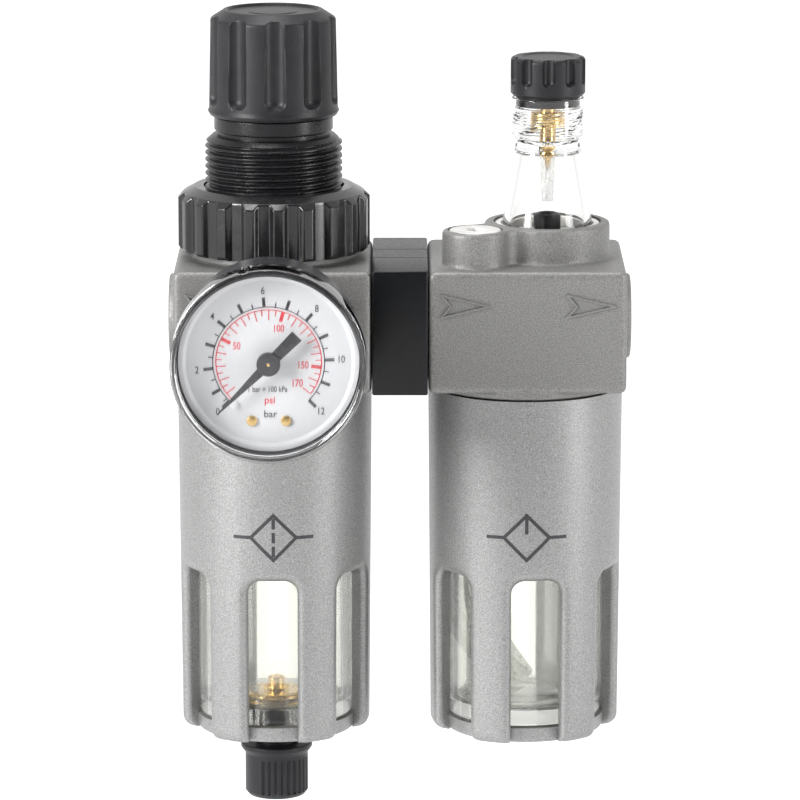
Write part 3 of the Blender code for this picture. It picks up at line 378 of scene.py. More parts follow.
class Nodes:
    """A Principled material, and short calls for the nodes that feed it."""

    def __init__(self, name, colour, roughness, metallic=0.0, **sockets):
        self.made = bpy.data.materials.new(name)
        self.made.use_nodes = True
        self.tree = self.made.node_tree
        self.shader = self.tree.nodes["Principled BSDF"]
        self.colour = (*colour, 1)
        self.set("Base Color", self.colour)
        self.set("Roughness", roughness)
        self.set("Metallic", metallic)
        for socket, value in sockets.items():
            self.set(socket.replace("_", " "), value)
        self.place = self.node("ShaderNodeTexCoord").outputs["Object"]
        self.bumped = None

    def set(self, socket, value):
        self.shader.inputs[socket].default_value = value

    def node(self, kind, **values):
        made = self.tree.nodes.new(kind)
        for key, value in values.items():
            setattr(made, key, value)
        return made

    def link(self, source, target):
        self.tree.links.new(source, target)

    def scaled(self, scale):
        """Object coordinates stretched by (x, y, z)."""
        mapping = self.node("ShaderNodeMapping")
        mapping.inputs["Scale"].default_value = scale
        self.link(self.place, mapping.inputs["Vector"])
        return mapping.outputs["Vector"]

    def noise(self, scale, detail=2.0, roughness=0.5, stretch=None):
        """Noise whose grains are about 1/scale metres."""
        made = self.node("ShaderNodeTexNoise")
        made.inputs["Scale"].default_value = scale
        made.inputs["Detail"].default_value = detail
        made.inputs["Roughness"].default_value = roughness
        self.link(self.scaled(stretch) if stretch else self.place, made.inputs["Vector"])
        return made.outputs["Fac"]

    def cells(self, scale, output="Distance"):
        made = self.node("ShaderNodeTexVoronoi")
        made.inputs["Scale"].default_value = scale
        self.link(self.place, made.inputs["Vector"])
        return made.outputs[output]

    def turned(self, scale):
        """Fine tool rings one above the other, from noise read on height alone."""
        split = self.node("ShaderNodeSeparateXYZ")
        self.link(self.place, split.inputs[0])
        made = self.node("ShaderNodeTexNoise", noise_dimensions="1D")
        made.inputs["Scale"].default_value = scale
        made.inputs["Detail"].default_value = 3
        self.link(split.outputs["Z"], made.inputs["W"])
        return made.outputs["Fac"]

    def ramp(self, source, low, high, start, end):
        """Maps the source from low..high to start..end, clamped."""
        made = self.node("ShaderNodeMapRange")
        self.link(source, made.inputs["Value"])
        for key, value in zip(
            ("From Min", "From Max", "To Min", "To Max"), (low, high, start, end)
        ):
            made.inputs[key].default_value = value
        return made.outputs["Result"]

    def tint(self, source, dark, light, low=0.3, high=0.7):
        """Base colour between two multiples of the piece's own colour."""
        made = self.node("ShaderNodeMix", data_type="RGBA")
        self.link(self.ramp(source, low, high, 0, 1), made.inputs["Factor"])
        for socket, share in ((6, dark), (7, light)):
            shade = [min(1, channel * share) for channel in self.colour[:3]]
            made.inputs[socket].default_value = (*shade, 1)
        self.link(made.outputs[2], self.shader.inputs["Base Color"])

    def vary(self, source, start, end, low=0.3, high=0.7):
        self.link(self.ramp(source, low, high, start, end), self.shader.inputs["Roughness"])

    def bump(self, source, height, strength=1.0):
        """Adds relief of that height in millimetres on top of any before it."""
        made = self.node("ShaderNodeBump")
        made.inputs["Distance"].default_value = height * MM
        made.inputs["Strength"].default_value = strength
        self.link(source, made.inputs["Height"])
        if self.bumped:
            self.link(self.bumped, made.inputs["Normal"])
        self.bumped = made.outputs["Normal"]
        self.link(self.bumped, self.shader.inputs["Normal"])


def metallic_paint(name, colour, roughness, metallic, grain=4200, speckle=0.25):
    """Powder paint with fine metal flake over a die casting."""
    m = Nodes(name, colour, roughness, metallic)
    flakes = m.noise(grain, 1, 0.6)
    m.tint(flakes, 1 - speckle, 1 + speckle, 0.36, 0.64)
    m.vary(m.noise(grain * 0.7, 1), roughness - 0.06, roughness + 0.14)
    m.bump(m.noise(900, 3), 0.05, 0.5)
    m.bump(flakes, 0.02, 0.6)
    return m.made


def moulded(name, colour, roughness, grain, height):
    """Moulded plastic with a fine spark-eroded texture."""
    m = Nodes(name, colour, roughness, Specular_IOR_Level=0.3)
    m.tint(m.noise(260, 3), 0.85, 1.25)
    m.vary(m.noise(grain, 2), roughness - 0.06, roughness + 0.08)
    m.bump(m.noise(grain, 2), height, 0.8)
    return m.made


def gloss_moulding(name, colour, roughness):
    """Polished black plastic with handling haze and hairline scratches."""
    m = Nodes(name, colour, roughness, Specular_IOR_Level=0.6)
    m.tint(m.noise(180, 2), 0.8, 1.3)
    m.vary(m.noise(700, 4, 0.7), roughness, roughness + 0.14, 0.4, 0.75)
    m.bump(m.noise(120, 2), 0.05, 0.25)
    return m.made


def clear(name, colour, roughness=0.015, ior=1.5, alpha=1.0):
    """Clear moulded plastic; a lower alpha lets more light straight through."""
    m = Nodes(name, colour, roughness, IOR=ior, Transmission_Weight=1.0, Alpha=alpha)
    m.vary(m.noise(300, 3), roughness, roughness + 0.02, 0.45, 0.8)
    m.bump(m.noise(90, 2), 0.06, 0.2)
    return m.made


def milky(name, colour, alpha):
    """Natural nylon, half clear."""
    m = Nodes(name, colour, 0.25, Transmission_Weight=0.35, IOR=1.3, Alpha=alpha)
    m.vary(m.noise(600, 3), 0.2, 0.4)
    m.bump(m.noise(500, 2), 0.05, 0.3)
    return m.made


def machined(name, colour, roughness, rings=2600):
    """Turned metal: fine tool rings, slight dulling in patches."""
    m = Nodes(name, colour, roughness, 1.0)
    m.tint(m.noise(160, 3), 0.82, 1.12)
    m.vary(m.noise(420, 3), roughness - 0.05, roughness + 0.12)
    m.bump(m.turned(rings), 0.02, 0.5)
    return m.made


def rubber(name, colour):
    m = Nodes(name, colour, 0.6)
    m.tint(m.noise(400, 3), 0.8, 1.4)
    m.vary(m.noise(1200, 2), 0.5, 0.75)
    m.bump(m.noise(1800, 2), 0.03, 0.6)
    return m.made


def sintered(name, colour):
    """Grains of plastic fused into a porous wall."""
    m = Nodes(name, colour, 0.85)
    grains = m.cells(2200)
    m.tint(grains, 1.1, 0.7, 0.1, 0.6)
    m.vary(m.noise(900, 2), 0.75, 0.95)
    m.bump(grains, -0.15, 1.0)
    return m.made


def printed(name, colour, roughness=0.45, uneven=0.2):
    """Screen-printed ink, a little uneven."""
    m = Nodes(name, colour, roughness)
    m.tint(m.noise(1500, 3), 1 - uneven, 1 + uneven)
    m.vary(m.noise(2500, 2), roughness - 0.08, roughness + 0.12)
    m.bump(m.noise(3000, 2), 0.01, 0.4)
    return m.made


FINISHES = {
    "cast_paint": metallic_paint("cast_paint", (0.21, 0.208, 0.202), 0.5, 0.5),
    "guard_paint": metallic_paint("guard_paint", (0.29, 0.29, 0.288), 0.4, 0.7),
    "spacer_nylon": moulded("spacer_nylon", (0.003, 0.0035, 0.0045), 0.34, 2600, 0.02),
    "knob_nylon": moulded("knob_nylon", (0.013, 0.013, 0.015), 0.4, 3200, 0.035),
    "thread_nylon": moulded("thread_nylon", (0.008, 0.008, 0.009), 0.3, 2400, 0.015),
    "gloss_black": gloss_moulding("gloss_black", (0.010, 0.010, 0.011), 0.16),
    "gauge_black": gloss_moulding("gauge_black", (0.022, 0.022, 0.025), 0.3),
    "clear_plastic": clear("clear_plastic", (0.975, 0.98, 0.925), alpha=0.75),
    "clear_dome": clear("clear_dome", (0.99, 0.99, 0.98), 0.01, 1.45),
    "lens_plastic": clear("lens_plastic", (0.99, 0.99, 0.99), 0.01, 1.45),
    "window_plastic": clear("window_plastic", (1, 1, 1), 0.01, 1.45, 0.12),
    "tube_nylon": milky("tube_nylon", (0.95, 0.95, 0.92), 0.75),
    "drip_nylon": milky("drip_nylon", (0.92, 0.92, 0.92), 0.35),
    "white_plastic": moulded("white_plastic", (0.8, 0.8, 0.78), 0.4, 2000, 0.02),
    "sintered": sintered("sintered", (0.75, 0.73, 0.66)),
    "brass": machined("brass", (0.78, 0.55, 0.24), 0.26),
    "steel": machined("steel", (0.6, 0.6, 0.6), 0.32),
    "zinc": machined("zinc", (0.82, 0.81, 0.79), 0.42, 1800),
    "rubber": rubber("rubber", (0.02, 0.02, 0.02)),
    "dial_paint": printed("dial_paint", (0.60, 0.605, 0.62), 0.5, 0.02),
    "pointer_paint": printed("pointer_paint", (0.045, 0.045, 0.05), 0.4),
    "black_ink": printed("black_ink", (0.03, 0.03, 0.035)),
    "red_ink": printed("red_ink", (0.62, 0.035, 0.05)),
}


def dress(obj, finish, body="housing", stands_for=(), sharp=32):
    """Gives a finished piece its material, shading, body and the CAD nodes it replaces."""
    obj.data.materials.clear()
    obj.data.materials.append(FINISHES[finish])
    obj.data.shade_smooth()
    if sharp:
        obj.data.set_sharp_from_angle(angle=math.radians(sharp))
    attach(obj, body)
    if stands_for:
        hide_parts(*([stands_for] if isinstance(stands_for, str) else stands_for))
    return obj


def turning(name, profile, place, finish, body="housing", stands_for=(), sharp=32, **shape):
    """A lathe piece with its finish, body and the CAD nodes it replaces."""
    return dress(lathe(name, profile, place, **shape), finish, body, stands_for, sharp)


# ------------------------------------------------------------------ blocks

VOXEL = 0.38
PORT_R = 5.75
THREAD_R = 6.58  # G1/4 at its roots
GAUGE_PORT_R = 4.6
THREAD_PITCH = 1.337
SKIRT_R = 21.3
SKIRT_END = -14.9
UPSTAND_TOP = ends("lub_body")[1]
UPSTAND_R = 13.7
PLUG_BOSS_R = 7.2
VALLEY_R = 4.0


def casting(name, centre, side):
    """A block's outer skin with its port boss and skirt, before its holes are cut."""
    body = block(
        name, (BLOCK_WIDTH, 2 * HALF_DEPTH, 2 * HALF_HEIGHT), at(centre), 1.3
    )
    face = centre + side * BLOCK_WIDTH / 2
    boss = lathe(
        name + "_boss", [(0, BOSS), (BOSS_R, BOSS, 0.3), (BOSS_R, -3), (0, -3)],
        at(face) @ Matrix.Rotation(side * math.pi / 2, 4, "Y"),
    )
    skirt = lathe(
        name + "_skirt",
        [(0, -5), (SKIRT_R, -5), (SKIRT_R, SKIRT_END, 0.4), (0, SKIRT_END)],
        at(centre),
        128,
    )
    socket = lathe(
        name + "_socket", [(0, -8), (19.8, -8), (19.8, -20), (0, -20)], at(centre)
    )
    boolean(body, "UNION", boss, skirt)
    return boolean(body, "DIFFERENCE", socket)


def drill(name, radius, low, high, place, sides=64):
    return lathe(name, [(0, high), (radius, high), (radius, low), (0, low)], place, sides)


def fr_block():
    body = casting("fr_casting", FR, -1)
    boolean(body, "UNION", drill("fr_neck", 17.3, 8, 21.6, at(FR)))
    remesh(body, VOXEL, 6)
    boolean(
        body,
        "DIFFERENCE",
        drill("fr_chamber", 14.2, 17.5, 30, at(FR)),
        drill("fr_port", THREAD_R + 0.2, -1, 12.5, at(0) @ RIGHT),
        drill("fr_rear_port", GAUGE_PORT_R, 14, HALF_DEPTH + 1, at(FR) @ BACK),
        drill("fr_front_port", GAUGE_PORT_R, 14, HALF_DEPTH + 1, at(FR) @ FRONT),
    )
    dress(body, "cast_paint", stands_for="fr_body", sharp=40)


def lub_block():
    body = casting("lub_casting", LUB, 1)
    risen = slab("lub_upstand", upstand(), 8, UPSTAND_TOP, bevel=0.5, only_top=True)
    boolean(body, "UNION", risen)
    end = ends("lub_body", 0)[1]
    remesh(body, VOXEL, 9)
    boolean(
        body,
        "DIFFERENCE",
        drill("lub_port", THREAD_R + 0.2, end - 12.5, end + 1, RIGHT),
        drill("lub_dome_bore", 11.75, 14.2, 30, at(DOME), 96),
        drill("lub_plug_seat", 6.0, 17.8, 30, at(PLUG.x, PLUG.y)),
        drill("lub_plug_bore", 4.8, 9, 18.2, at(PLUG.x, PLUG.y)),
    )
    dress(body, "cast_paint", stands_for="lub_body", sharp=40)


def upstand():
    """The dome's round upstand and the plug's boss, with a fillet in each valley."""
    dome, boss = Vector((DOME, 0)), Vector((PLUG.x, PLUG.y))
    apart = (boss - dome).length
    to_dome, to_boss = UPSTAND_R + VALLEY_R, PLUG_BOSS_R + VALLEY_R
    turn = math.acos((apart**2 + to_dome**2 - to_boss**2) / (2 * apart * to_dome))
    heading = math.atan2(boss.y - dome.y, boss.x - dome.x)
    front = dome + to_dome * heading_of(heading + turn)
    rear = dome + to_dome * heading_of(heading - turn)
    return [
        *arc(dome, UPSTAND_R, front - dome, rear - dome, 64),
        *arc(rear, VALLEY_R, dome - rear, boss - rear, 10, -1),
        *arc(boss, PLUG_BOSS_R, rear - boss, front - boss, 32),
        *arc(front, VALLEY_R, boss - front, dome - front, 10, -1),
    ]


def heading_of(angle):
    return Vector((math.cos(angle), math.sin(angle)))


def arc(centre, radius, start, end, steps, way=1):
    """Points from one heading round to another, without the last one."""
    first = math.atan2(start.y, start.x)
    sweep = (way * (math.atan2(end.y, end.x) - first)) % (2 * math.pi)
    return [
        centre + radius * heading_of(first + way * sweep * number / steps)
        for number in range(steps)
    ]


def port_threads():
    """Machined threads inside the two port bosses."""
    for name, face, turn in (
        ("inlet_thread", ends("fr_body", 0)[0], -math.pi / 2),
        ("outlet_thread", ends("lub_body", 0)[1], math.pi / 2),
    ):
        thread_liner(name, at(face) @ Matrix.Rotation(turn, 4, "Y"))


def thread_liner(name, place):
    """A threaded lining whose mouth is at its own top."""

    def helix(radius, height, angle):
        if radius > THREAD_R + 0.1 or height > -0.9:
            return radius
        phase = (height / THREAD_PITCH - angle / 2 / math.pi) % 1
        return PORT_R + (THREAD_R - PORT_R) * abs(2 * phase - 1)

    profile = [
        (THREAD_R + 0.5, -0.02), (THREAD_R + 0.5, -12.4), (PORT_R, -12.4), (PORT_R, -0.9),
        (THREAD_R + 0.1, -0.02),
    ]
    turning(name, profile, place, "zinc", sharp=0, sides=72, swell=helix, rows=THREAD_PITCH / 6)


def flow_arrows():
    """Cast arrows that show the way of the flow: a notched outline in low relief."""
    length, half, notch, line = 10.3, 2.45, 2.1, 0.44
    corners = [(0, half), (length, 0), (0, -half), (notch, 0)]
    for name, start in (
        ("fr_arrow_1", FR - 18.65), ("fr_arrow_2", FR + 8.5),
        ("lub_arrow_1", LUB - 18.65), ("lub_arrow_2", LUB + 8.5),
    ):
        place = at(start, 0.12 - HALF_DEPTH, 6.0) @ FRONT
        sides = [
            slab(
                f"{name}_side_{number}",
                stroke(corners[number], corners[(number + 1) % 4], line, True),
                0, 0.6, place, 0.14, 2, True,
            )
            for number in range(4)
        ]
        dress(boolean(sides[0], "UNION", *sides[1:]), "cast_paint")
        sides[0].name = name


def joint():
    """The black spacer, its top ribbed where it locks onto the blocks."""
    width = LUB - FR - BLOCK_WIDTH - 0.1
    height = ends("joint_block")[1]
    spacer = block("spacer", (width, 2 * HALF_DEPTH, 2 * height), at(JOINT), 0.45, 3)
    grooves = [
        block(f"spacer_groove_{number}", (20, 0.35, 0.5), at(JOINT, y, height))
        for number, y in enumerate((-4.2, 6.2), 1)
    ]
    bore = drill("spacer_bore", 7.4, -9, 9, at(JOINT) @ RIGHT)
    boolean(spacer, "DIFFERENCE", bore, *grooves)
    dress(spacer, "spacer_nylon", stands_for="joint_block")


# --------------------------------------------------------------- regulator

KNOB_LOW, KNOB_HIGH = ends("regulator_knob")
FLUTES = 10


def soft_min(a, b, blend):
    """The lesser of two, rounded where they meet."""
    share = max(0.0, blend - abs(a - b)) / blend
    return min(a, b) - share * share * blend / 4


def fluted(outer, depth, flute_r, end, phase, blend=0.25):
    """A swell that presses round-ended flutes into a knob's side."""
    reach = outer - depth + flute_r
    pitch = 2 * math.pi / FLUTES

    def swell(radius, height, angle):
        off = (angle - math.radians(phase) + pitch / 2) % pitch - pitch / 2
        drop = max(0.0, end + flute_r * 0.7 - height) / 0.7
        if drop >= flute_r or radius < reach - flute_r - blend:
            return radius
        tool = math.sqrt(flute_r**2 - drop**2)
        aside = reach * math.sin(off)
        if abs(aside) >= tool:
            return radius
        floor = reach * math.cos(off) - math.sqrt(tool**2 - aside**2)
        return soft_min(radius, floor, blend)

    return swell


def regulator_knob():
    height = KNOB_HIGH - KNOB_LOW
    profile = [
        (0, KNOB_HIGH - 0.55), (9.7, KNOB_HIGH - 0.55), (10.1, KNOB_HIGH, 0.15),
        (10.7, KNOB_HIGH, 0.3), (13.65, KNOB_HIGH - 1.9, 0.8), (14.05, KNOB_LOW + 1.6),
        (14.3, KNOB_LOW + 0.9, 0.3), (13.8, KNOB_LOW, 0.3), (10.7, KNOB_LOW),
        (10.7, KNOB_HIGH - 2.3), (0, KNOB_HIGH - 2.3),
    ]
    swell = fluted(14.05, 1.5, 2.8, KNOB_LOW + 2.3, 3, 0.1)
    knob = lathe("knob_moulding", profile, at(FR), 480, swell, height / 50)
    dress(knob, "knob_nylon", "regulator_knob", "regulator_knob", 40)
    high, low = KNOB_HIGH - 0.4, KNOB_HIGH - 0.6
    cap = [(0, high), (5.3, high, 0.1), (5.5, low), (0, low)]
    turning("knob_cap", cap, at(FR), "knob_nylon", "regulator_knob")


BONNET_TOP = 39.5
BONNET_R = 15.0
BONNET_PITCH = 1.5


def bonnet():
    """Spring housing with an M30 x 1.5 thread, a neck and the knob's collar."""
    foot = 28.2

    def helix(radius, height, angle):
        if not 13.9 < radius < 15.1 or height > BONNET_TOP + 0.5:
            return radius
        phase = (height / BONNET_PITCH - angle / 2 / math.pi) % 1
        wave = abs(2 * phase - 1)
        depth = 0.92 * min(1, max(0, (wave - 0.16) / 0.72))
        runout = min(1, max(0, (height - foot) / 0.8))
        line = 0.12 if abs(angle - math.radians(24)) < 0.012 else 0
        return min(radius, BONNET_R - depth * runout) - line

    profile = [
        (4.0, 60, 0.3), (10.3, 60, 0.5), (10.3, KNOB_LOW - 0.2),
        (12.95, KNOB_LOW - 0.2, 0.25), (12.95, 41.4, 0.5), (12.2, 41.2),
        (12.2, BONNET_TOP + 0.9), (13.4, BONNET_TOP + 0.8), (14.95, BONNET_TOP - 0.6),
        (15.0, foot), (14.8, 26.5), (17.0, 26.5), (17.0, 23.1), (12.4, 23.1), (12.4, 37.0),
        (8.8, 40.0), (8.8, 58.2), (4.0, 58.2),
    ]
    made = lathe("bonnet_moulding", profile, at(FR), 288, helix, BONNET_PITCH / 14)
    dress(made, "thread_nylon", stands_for="regulator_bonnet", sharp=50)


def ring_nut():
    """Nut with twenty trapezoid ribs under a cone."""
    low, high = ends("ring_nut")
    crest_r = ends("ring_nut", 0)[1] - FR
    root_r, crest, flank = 19.75, 0.95, 1.1
    pitch = 2 * math.pi / 20

    def ribs(radius, height, angle):
        if radius < 18:
            return radius
        off = abs((angle - math.radians(4.3) + pitch / 2) % pitch - pitch / 2) * 20.4
        share = min(1, max(0, (off - crest) / flank))
        share = share * share * (3 - 2 * share) * 0.4 + share * 0.6
        return soft_min(radius, crest_r - (crest_r - root_r) * share, 0.12)

    profile = [
        (15.35, high - 0.85), (17.3, high - 0.85, 0.3), (19.65, high - 2.1, 0.25),
        (crest_r, high - 3.4, 0.25), (crest_r, low + 0.7, 0.2), (crest_r - 0.7, low, 0.2),
        (17.6, low), (17.6, 26.8), (15.35, 26.8),
    ]
    nut = lathe("ring_nut_moulding", profile, at(FR), 640, ribs, 0.35)
    dress(nut, "gloss_black", stands_for="ring_nut", sharp=50)


def wire(name, path, radius):
    """A round wire along a path, closed at both ends."""
    curve = bpy.data.curves.new(name, "CURVE")
    curve.dimensions = "3D"
    curve.bevel_depth = radius * MM
    curve.bevel_resolution = 4
    curve.use_fill_caps = True
    spline = curve.splines.new("POLY")
    spline.points.add(len(path) - 1)
    for point, where in zip(spline.points, path):
        point.co = (*(Vector(where) * MM), 1)
    drawn = placed(name, curve)
    mesh = final_mesh(drawn)
    bpy.data.objects.remove(drawn)
    made = placed(name, mesh)
    face_outwards(made)
    return made


def spring(name, node, radius, thickness, turns):
    """A coil spring between the CAD node's ends, with closed end turns."""
    low, high = ends(node)
    inset = thickness / 2
    path = []
    steps = int(turns * 32)
    for step in range(steps + 1):
        share = step / steps
        angle = share * turns * 2 * math.pi
        rise = share * share * (3 - 2 * share)
        height = low + inset + (high - low - thickness) * rise
        path.append((FR + radius * math.cos(angle), radius * math.sin(angle), height))
    made = wire(name, path, inset)
    dress(made, "steel", stands_for=node)
    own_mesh(made)


def diaphragm():
    """Rubber sheet: its clamped rim with the fold, and the middle that moves with its disc."""
    rim = [
        (10.5, 22.6), (11.6, 21.7, 0.3), (13.0, 21.7, 0.3), (13.8, 22.8, 0.2), (16.9, 22.8),
        (16.9, 21.9), (14.0, 21.9, 0.2), (13.2, 20.9, 0.3), (11.4, 20.9, 0.3), (10.5, 21.8),
    ]
    turning("diaphragm_rim", rim, at(FR), "rubber", stands_for="diaphragm")
    sheet = [(2.0, 22.65), (10.4, 22.65), (10.4, 21.95), (2.0, 21.95)]
    turning("diaphragm_middle", sheet, at(FR), "rubber", "diaphragm_stack")


# ------------------------------------------------------- guards and bowls

GUARD_LOW = ends("filter_guard")[0]
GUARD_TOP = -15.1
GUARD_BORE = 17.3
SLOT_TOP = -55.4
SLOT_HALF = 5.4
RIM = 2.2  # rounding of a slot's outer edges
FOOT_R = 2.5
GUARD_R = 20.75  # at its foot
GUARD_LEAN = 0.6  # more than that at its top
PLATE_TOP = -89.1  # of a guard's floor
PLATE_R = 17.6
FLAT_WALL = 4.0  # depth of a guard's wall while it is flat
SIXTH = 60  # degrees between a guard's slots


def guard(name, centre, phase, hole, body, node):
    """Die-cast guard with six slots, whose outer rims are rounded.

    One sixth is laid out flat, bevelled, cut into strips and bent round the axis.
    """
    sixth = slot_sector()
    bm = bmesh.new()
    for number in range(6):
        first = len(bm.verts)
        bm.from_mesh(sixth.data)
        bm.verts.ensure_lookup_table()
        spin = Matrix.Rotation(math.radians(phase + SIXTH * number), 3, "Z")
        bmesh.ops.rotate(bm, cent=(0, 0, 0), matrix=spin, verts=bm.verts[first:])
    bpy.data.objects.remove(sixth)
    bmesh.ops.remove_doubles(bm, verts=bm.verts, dist=2e-6)
    bmesh.ops.scale(bm, vec=(1 / MM, 1 / MM, 1 / MM), verts=bm.verts)
    made = from_bmesh(name, bm, at(centre))
    plate = [
        (hole, PLATE_TOP), (PLATE_R, PLATE_TOP), (PLATE_R, GUARD_LOW, 0.9),
        (hole, GUARD_LOW, 0.3),
    ]
    if not hole:
        plate = [(0, PLATE_TOP), *plate[1:3], (0, GUARD_LOW)]
    boolean(made, "UNION", lathe(name + "_plate", plate, at(centre), 128))
    dress(made, "guard_paint", body, node, 40)


def slot_sector():
    """One sixth of a guard's wall, with half a rib on either side of its slot."""
    edge = 12.0  # flat half width, which bending takes to 30 degrees
    corner = 3.0
    outline = [
        (-edge - 4, GUARD_LOW),
        *rounded(
            [
                (-SLOT_HALF, GUARD_LOW), (-SLOT_HALF, SLOT_TOP, corner),
                (SLOT_HALF, SLOT_TOP, corner), (SLOT_HALF, GUARD_LOW),
            ],
            False,
            math.radians(12),
        ),
        (edge + 4, GUARD_LOW), (edge + 4, GUARD_TOP), (-edge - 4, GUARD_TOP),
    ]
    bm = bmesh.new()
    base = bm.faces.new([bm.verts.new((x, 0, z)) for x, z in outline])
    extrude(bm, [base], (0, -FLAT_WALL, 0))

    def on_rim(point):
        return point.y < 0.1 - FLAT_WALL and abs(point.x) < edge and point.z < SLOT_TOP + 0.1

    rims = [e for e in bm.edges if all(on_rim(v.co) for v in e.verts)]
    bmesh.ops.bevel(bm, geom=rims, offset=RIM, segments=8, profile=0.5, affect="EDGES")
    for x in np.linspace(-edge, edge, 25):
        halve(bm, (x, 0, 0), (1, 0, 0))
    for z in [*np.linspace(GUARD_LOW + 0.3, GUARD_LOW + FOOT_R, 8), SLOT_TOP, -40, -25]:
        halve(bm, (0, 0, z), (0, 0, 1))
    halve(bm, (edge, 0, 0), (1, 0, 0), clear_outer=True)
    halve(bm, (-edge, 0, 0), (-1, 0, 0), clear_outer=True)
    for vert in bm.verts:
        vert.co = bent(vert.co, edge)
    bmesh.ops.recalc_face_normals(bm, faces=bm.faces)
    bmesh.ops.scale(bm, vec=(MM, MM, MM), verts=bm.verts)
    mesh = bpy.data.meshes.new("slot_sector")
    bm.to_mesh(mesh)
    bm.free()
    return bpy.data.objects.new("slot_sector", mesh)


def halve(bm, place, normal, clear_outer=False):
    """Cuts every face that a plane crosses."""
    bmesh.ops.bisect_plane(
        bm,
        geom=[*bm.verts, *bm.edges, *bm.faces],
        plane_co=place,
        plane_no=normal,
        dist=1e-5,
        clear_outer=clear_outer,
    )


def guard_radius(height):
    """The guard's wall leans out a little towards its top."""
    return GUARD_R + GUARD_LEAN * (height - GUARD_LOW) / (GUARD_TOP - GUARD_LOW)


def bent(flat, edge):
    """Bends a flat point round the axis, keeping a slot's two sides parallel."""
    outer = guard_radius(flat.z)
    foot = max(0.0, GUARD_LOW + FOOT_R - flat.z)
    outer -= FOOT_R - math.sqrt(max(0.0, FOOT_R**2 - foot**2))
    radius = GUARD_BORE + (outer - GUARD_BORE) * -flat.y / FLAT_WALL
    straight = SLOT_HALF + RIM + 0.1
    inside = min(abs(flat.x), straight)
    angle = math.asin(inside / radius)
    if abs(flat.x) > straight:
        share = (abs(flat.x) - straight) / (edge - straight)
        angle += (math.radians(SIXTH / 2) - angle) * share
    angle = math.copysign(angle, flat.x)
    return Vector((radius * math.sin(angle), -radius * math.cos(angle), flat.z))


BOWL_R = 17.0
BOWL_FLOOR = -85.8
BOWL_BASE = -88.8


def bowl(name, centre, hole, body, nodes):
    """Clear bowl with a thick floor and a rounded inner corner."""
    inner = BOWL_R - 2
    flange, under = -9.7, -11.3
    wall = [
        (inner, flange, 0.2), (19.2, flange, 0.2), (19.2, under, 0.2), (BOWL_R, under),
        (BOWL_R - 0.05, BOWL_BASE, 0.6),
    ]
    if hole:
        profile = [*wall, (hole, BOWL_BASE), (hole, BOWL_FLOOR), (inner, BOWL_FLOOR, 1.6)]
    else:
        floor = [
            (0, BOWL_FLOOR), (7.6, BOWL_FLOOR), (8.0, BOWL_FLOOR + 0.5, 0.15),
            (8.8, BOWL_FLOOR + 0.5, 0.15), (9.2, BOWL_FLOOR), (inner, BOWL_FLOOR, 1.6),
        ]
        profile = [*floor, *wall, (0, BOWL_BASE)]
    made = lathe(name, profile, at(centre), 160)
    dress(made, "clear_plastic", body, nodes)


MARK_Z = -45.3  # height of a sign's middle
MARK_HALF = 5.0
MARK_END = 8.6  # of its flow lines
DIAMOND = [(0, MARK_HALF), (MARK_HALF, 0), (0, -MARK_HALF), (-MARK_HALF, 0)]
FLOW_LINES = [((-MARK_END, 0), (-MARK_HALF, 0)), ((MARK_HALF, 0), (MARK_END, 0))]


def guard_mark(name, centre, body, inside):
    """A printed circuit symbol: a diamond with its flow lines, wrapped round the guard."""
    outline = list(zip(DIAMOND, DIAMOND[1:] + DIAMOND[:1]))
    lines = [
        slab(f"{name}_{number}", stroke(start, end, 0.75, True), -0.2, PRINT)
        for number, (start, end) in enumerate([*outline, *FLOW_LINES, *inside])
    ]
    made = boolean(lines[0], "UNION", *lines[1:])
    made.name = name
    bm = bmesh.new()
    bm.from_mesh(made.data)
    bmesh.ops.scale(bm, vec=(1 / MM, 1 / MM, 1 / MM), verts=bm.verts)
    for x in np.linspace(-9, 9, 37):
        halve(bm, (x, 0, 0), (1, 0, 0))
    for vert in bm.verts:
        height = MARK_Z + vert.co.y
        radius = guard_radius(height) + vert.co.z
        angle = vert.co.x / radius
        vert.co = (
            centre + radius * math.sin(angle), -radius * math.cos(angle), height
        )
    bmesh.ops.recalc_face_normals(bm, faces=bm.faces)
    bmesh.ops.scale(bm, vec=(MM, MM, MM), verts=bm.verts)
    bm.to_mesh(made.data)
    bm.free()
    dress(made, "black_ink", body)


def guard_marks():
    """The signs of a filter and of a lubricator."""
    dashes = [((0, 3.9), (0, 2.3)), ((0, 0.8), (0, -0.8)), ((0, -2.3), (0, -3.9))]
    guard_mark("filter_sign", FR, "filter_guard", dashes)
    guard_mark("lubricator_sign", LUB, "oil_guard", [((0, MARK_HALF), (0, 1.2))])


def guards_and_bowls():
    bowl("filter_bowl_moulding", FR, 4.2, "filter_bowl", "filter_bowl")
    bowl("oil_bowl_moulding", LUB, 0, "oil_bowl", "oil_bowl")
    guard("filter_guard_casting", FR, -0.8, 6.6, "filter_guard", "filter_guard")
    guard("oil_guard_casting", LUB, 6.6, 0, "oil_guard", "oil_guard")


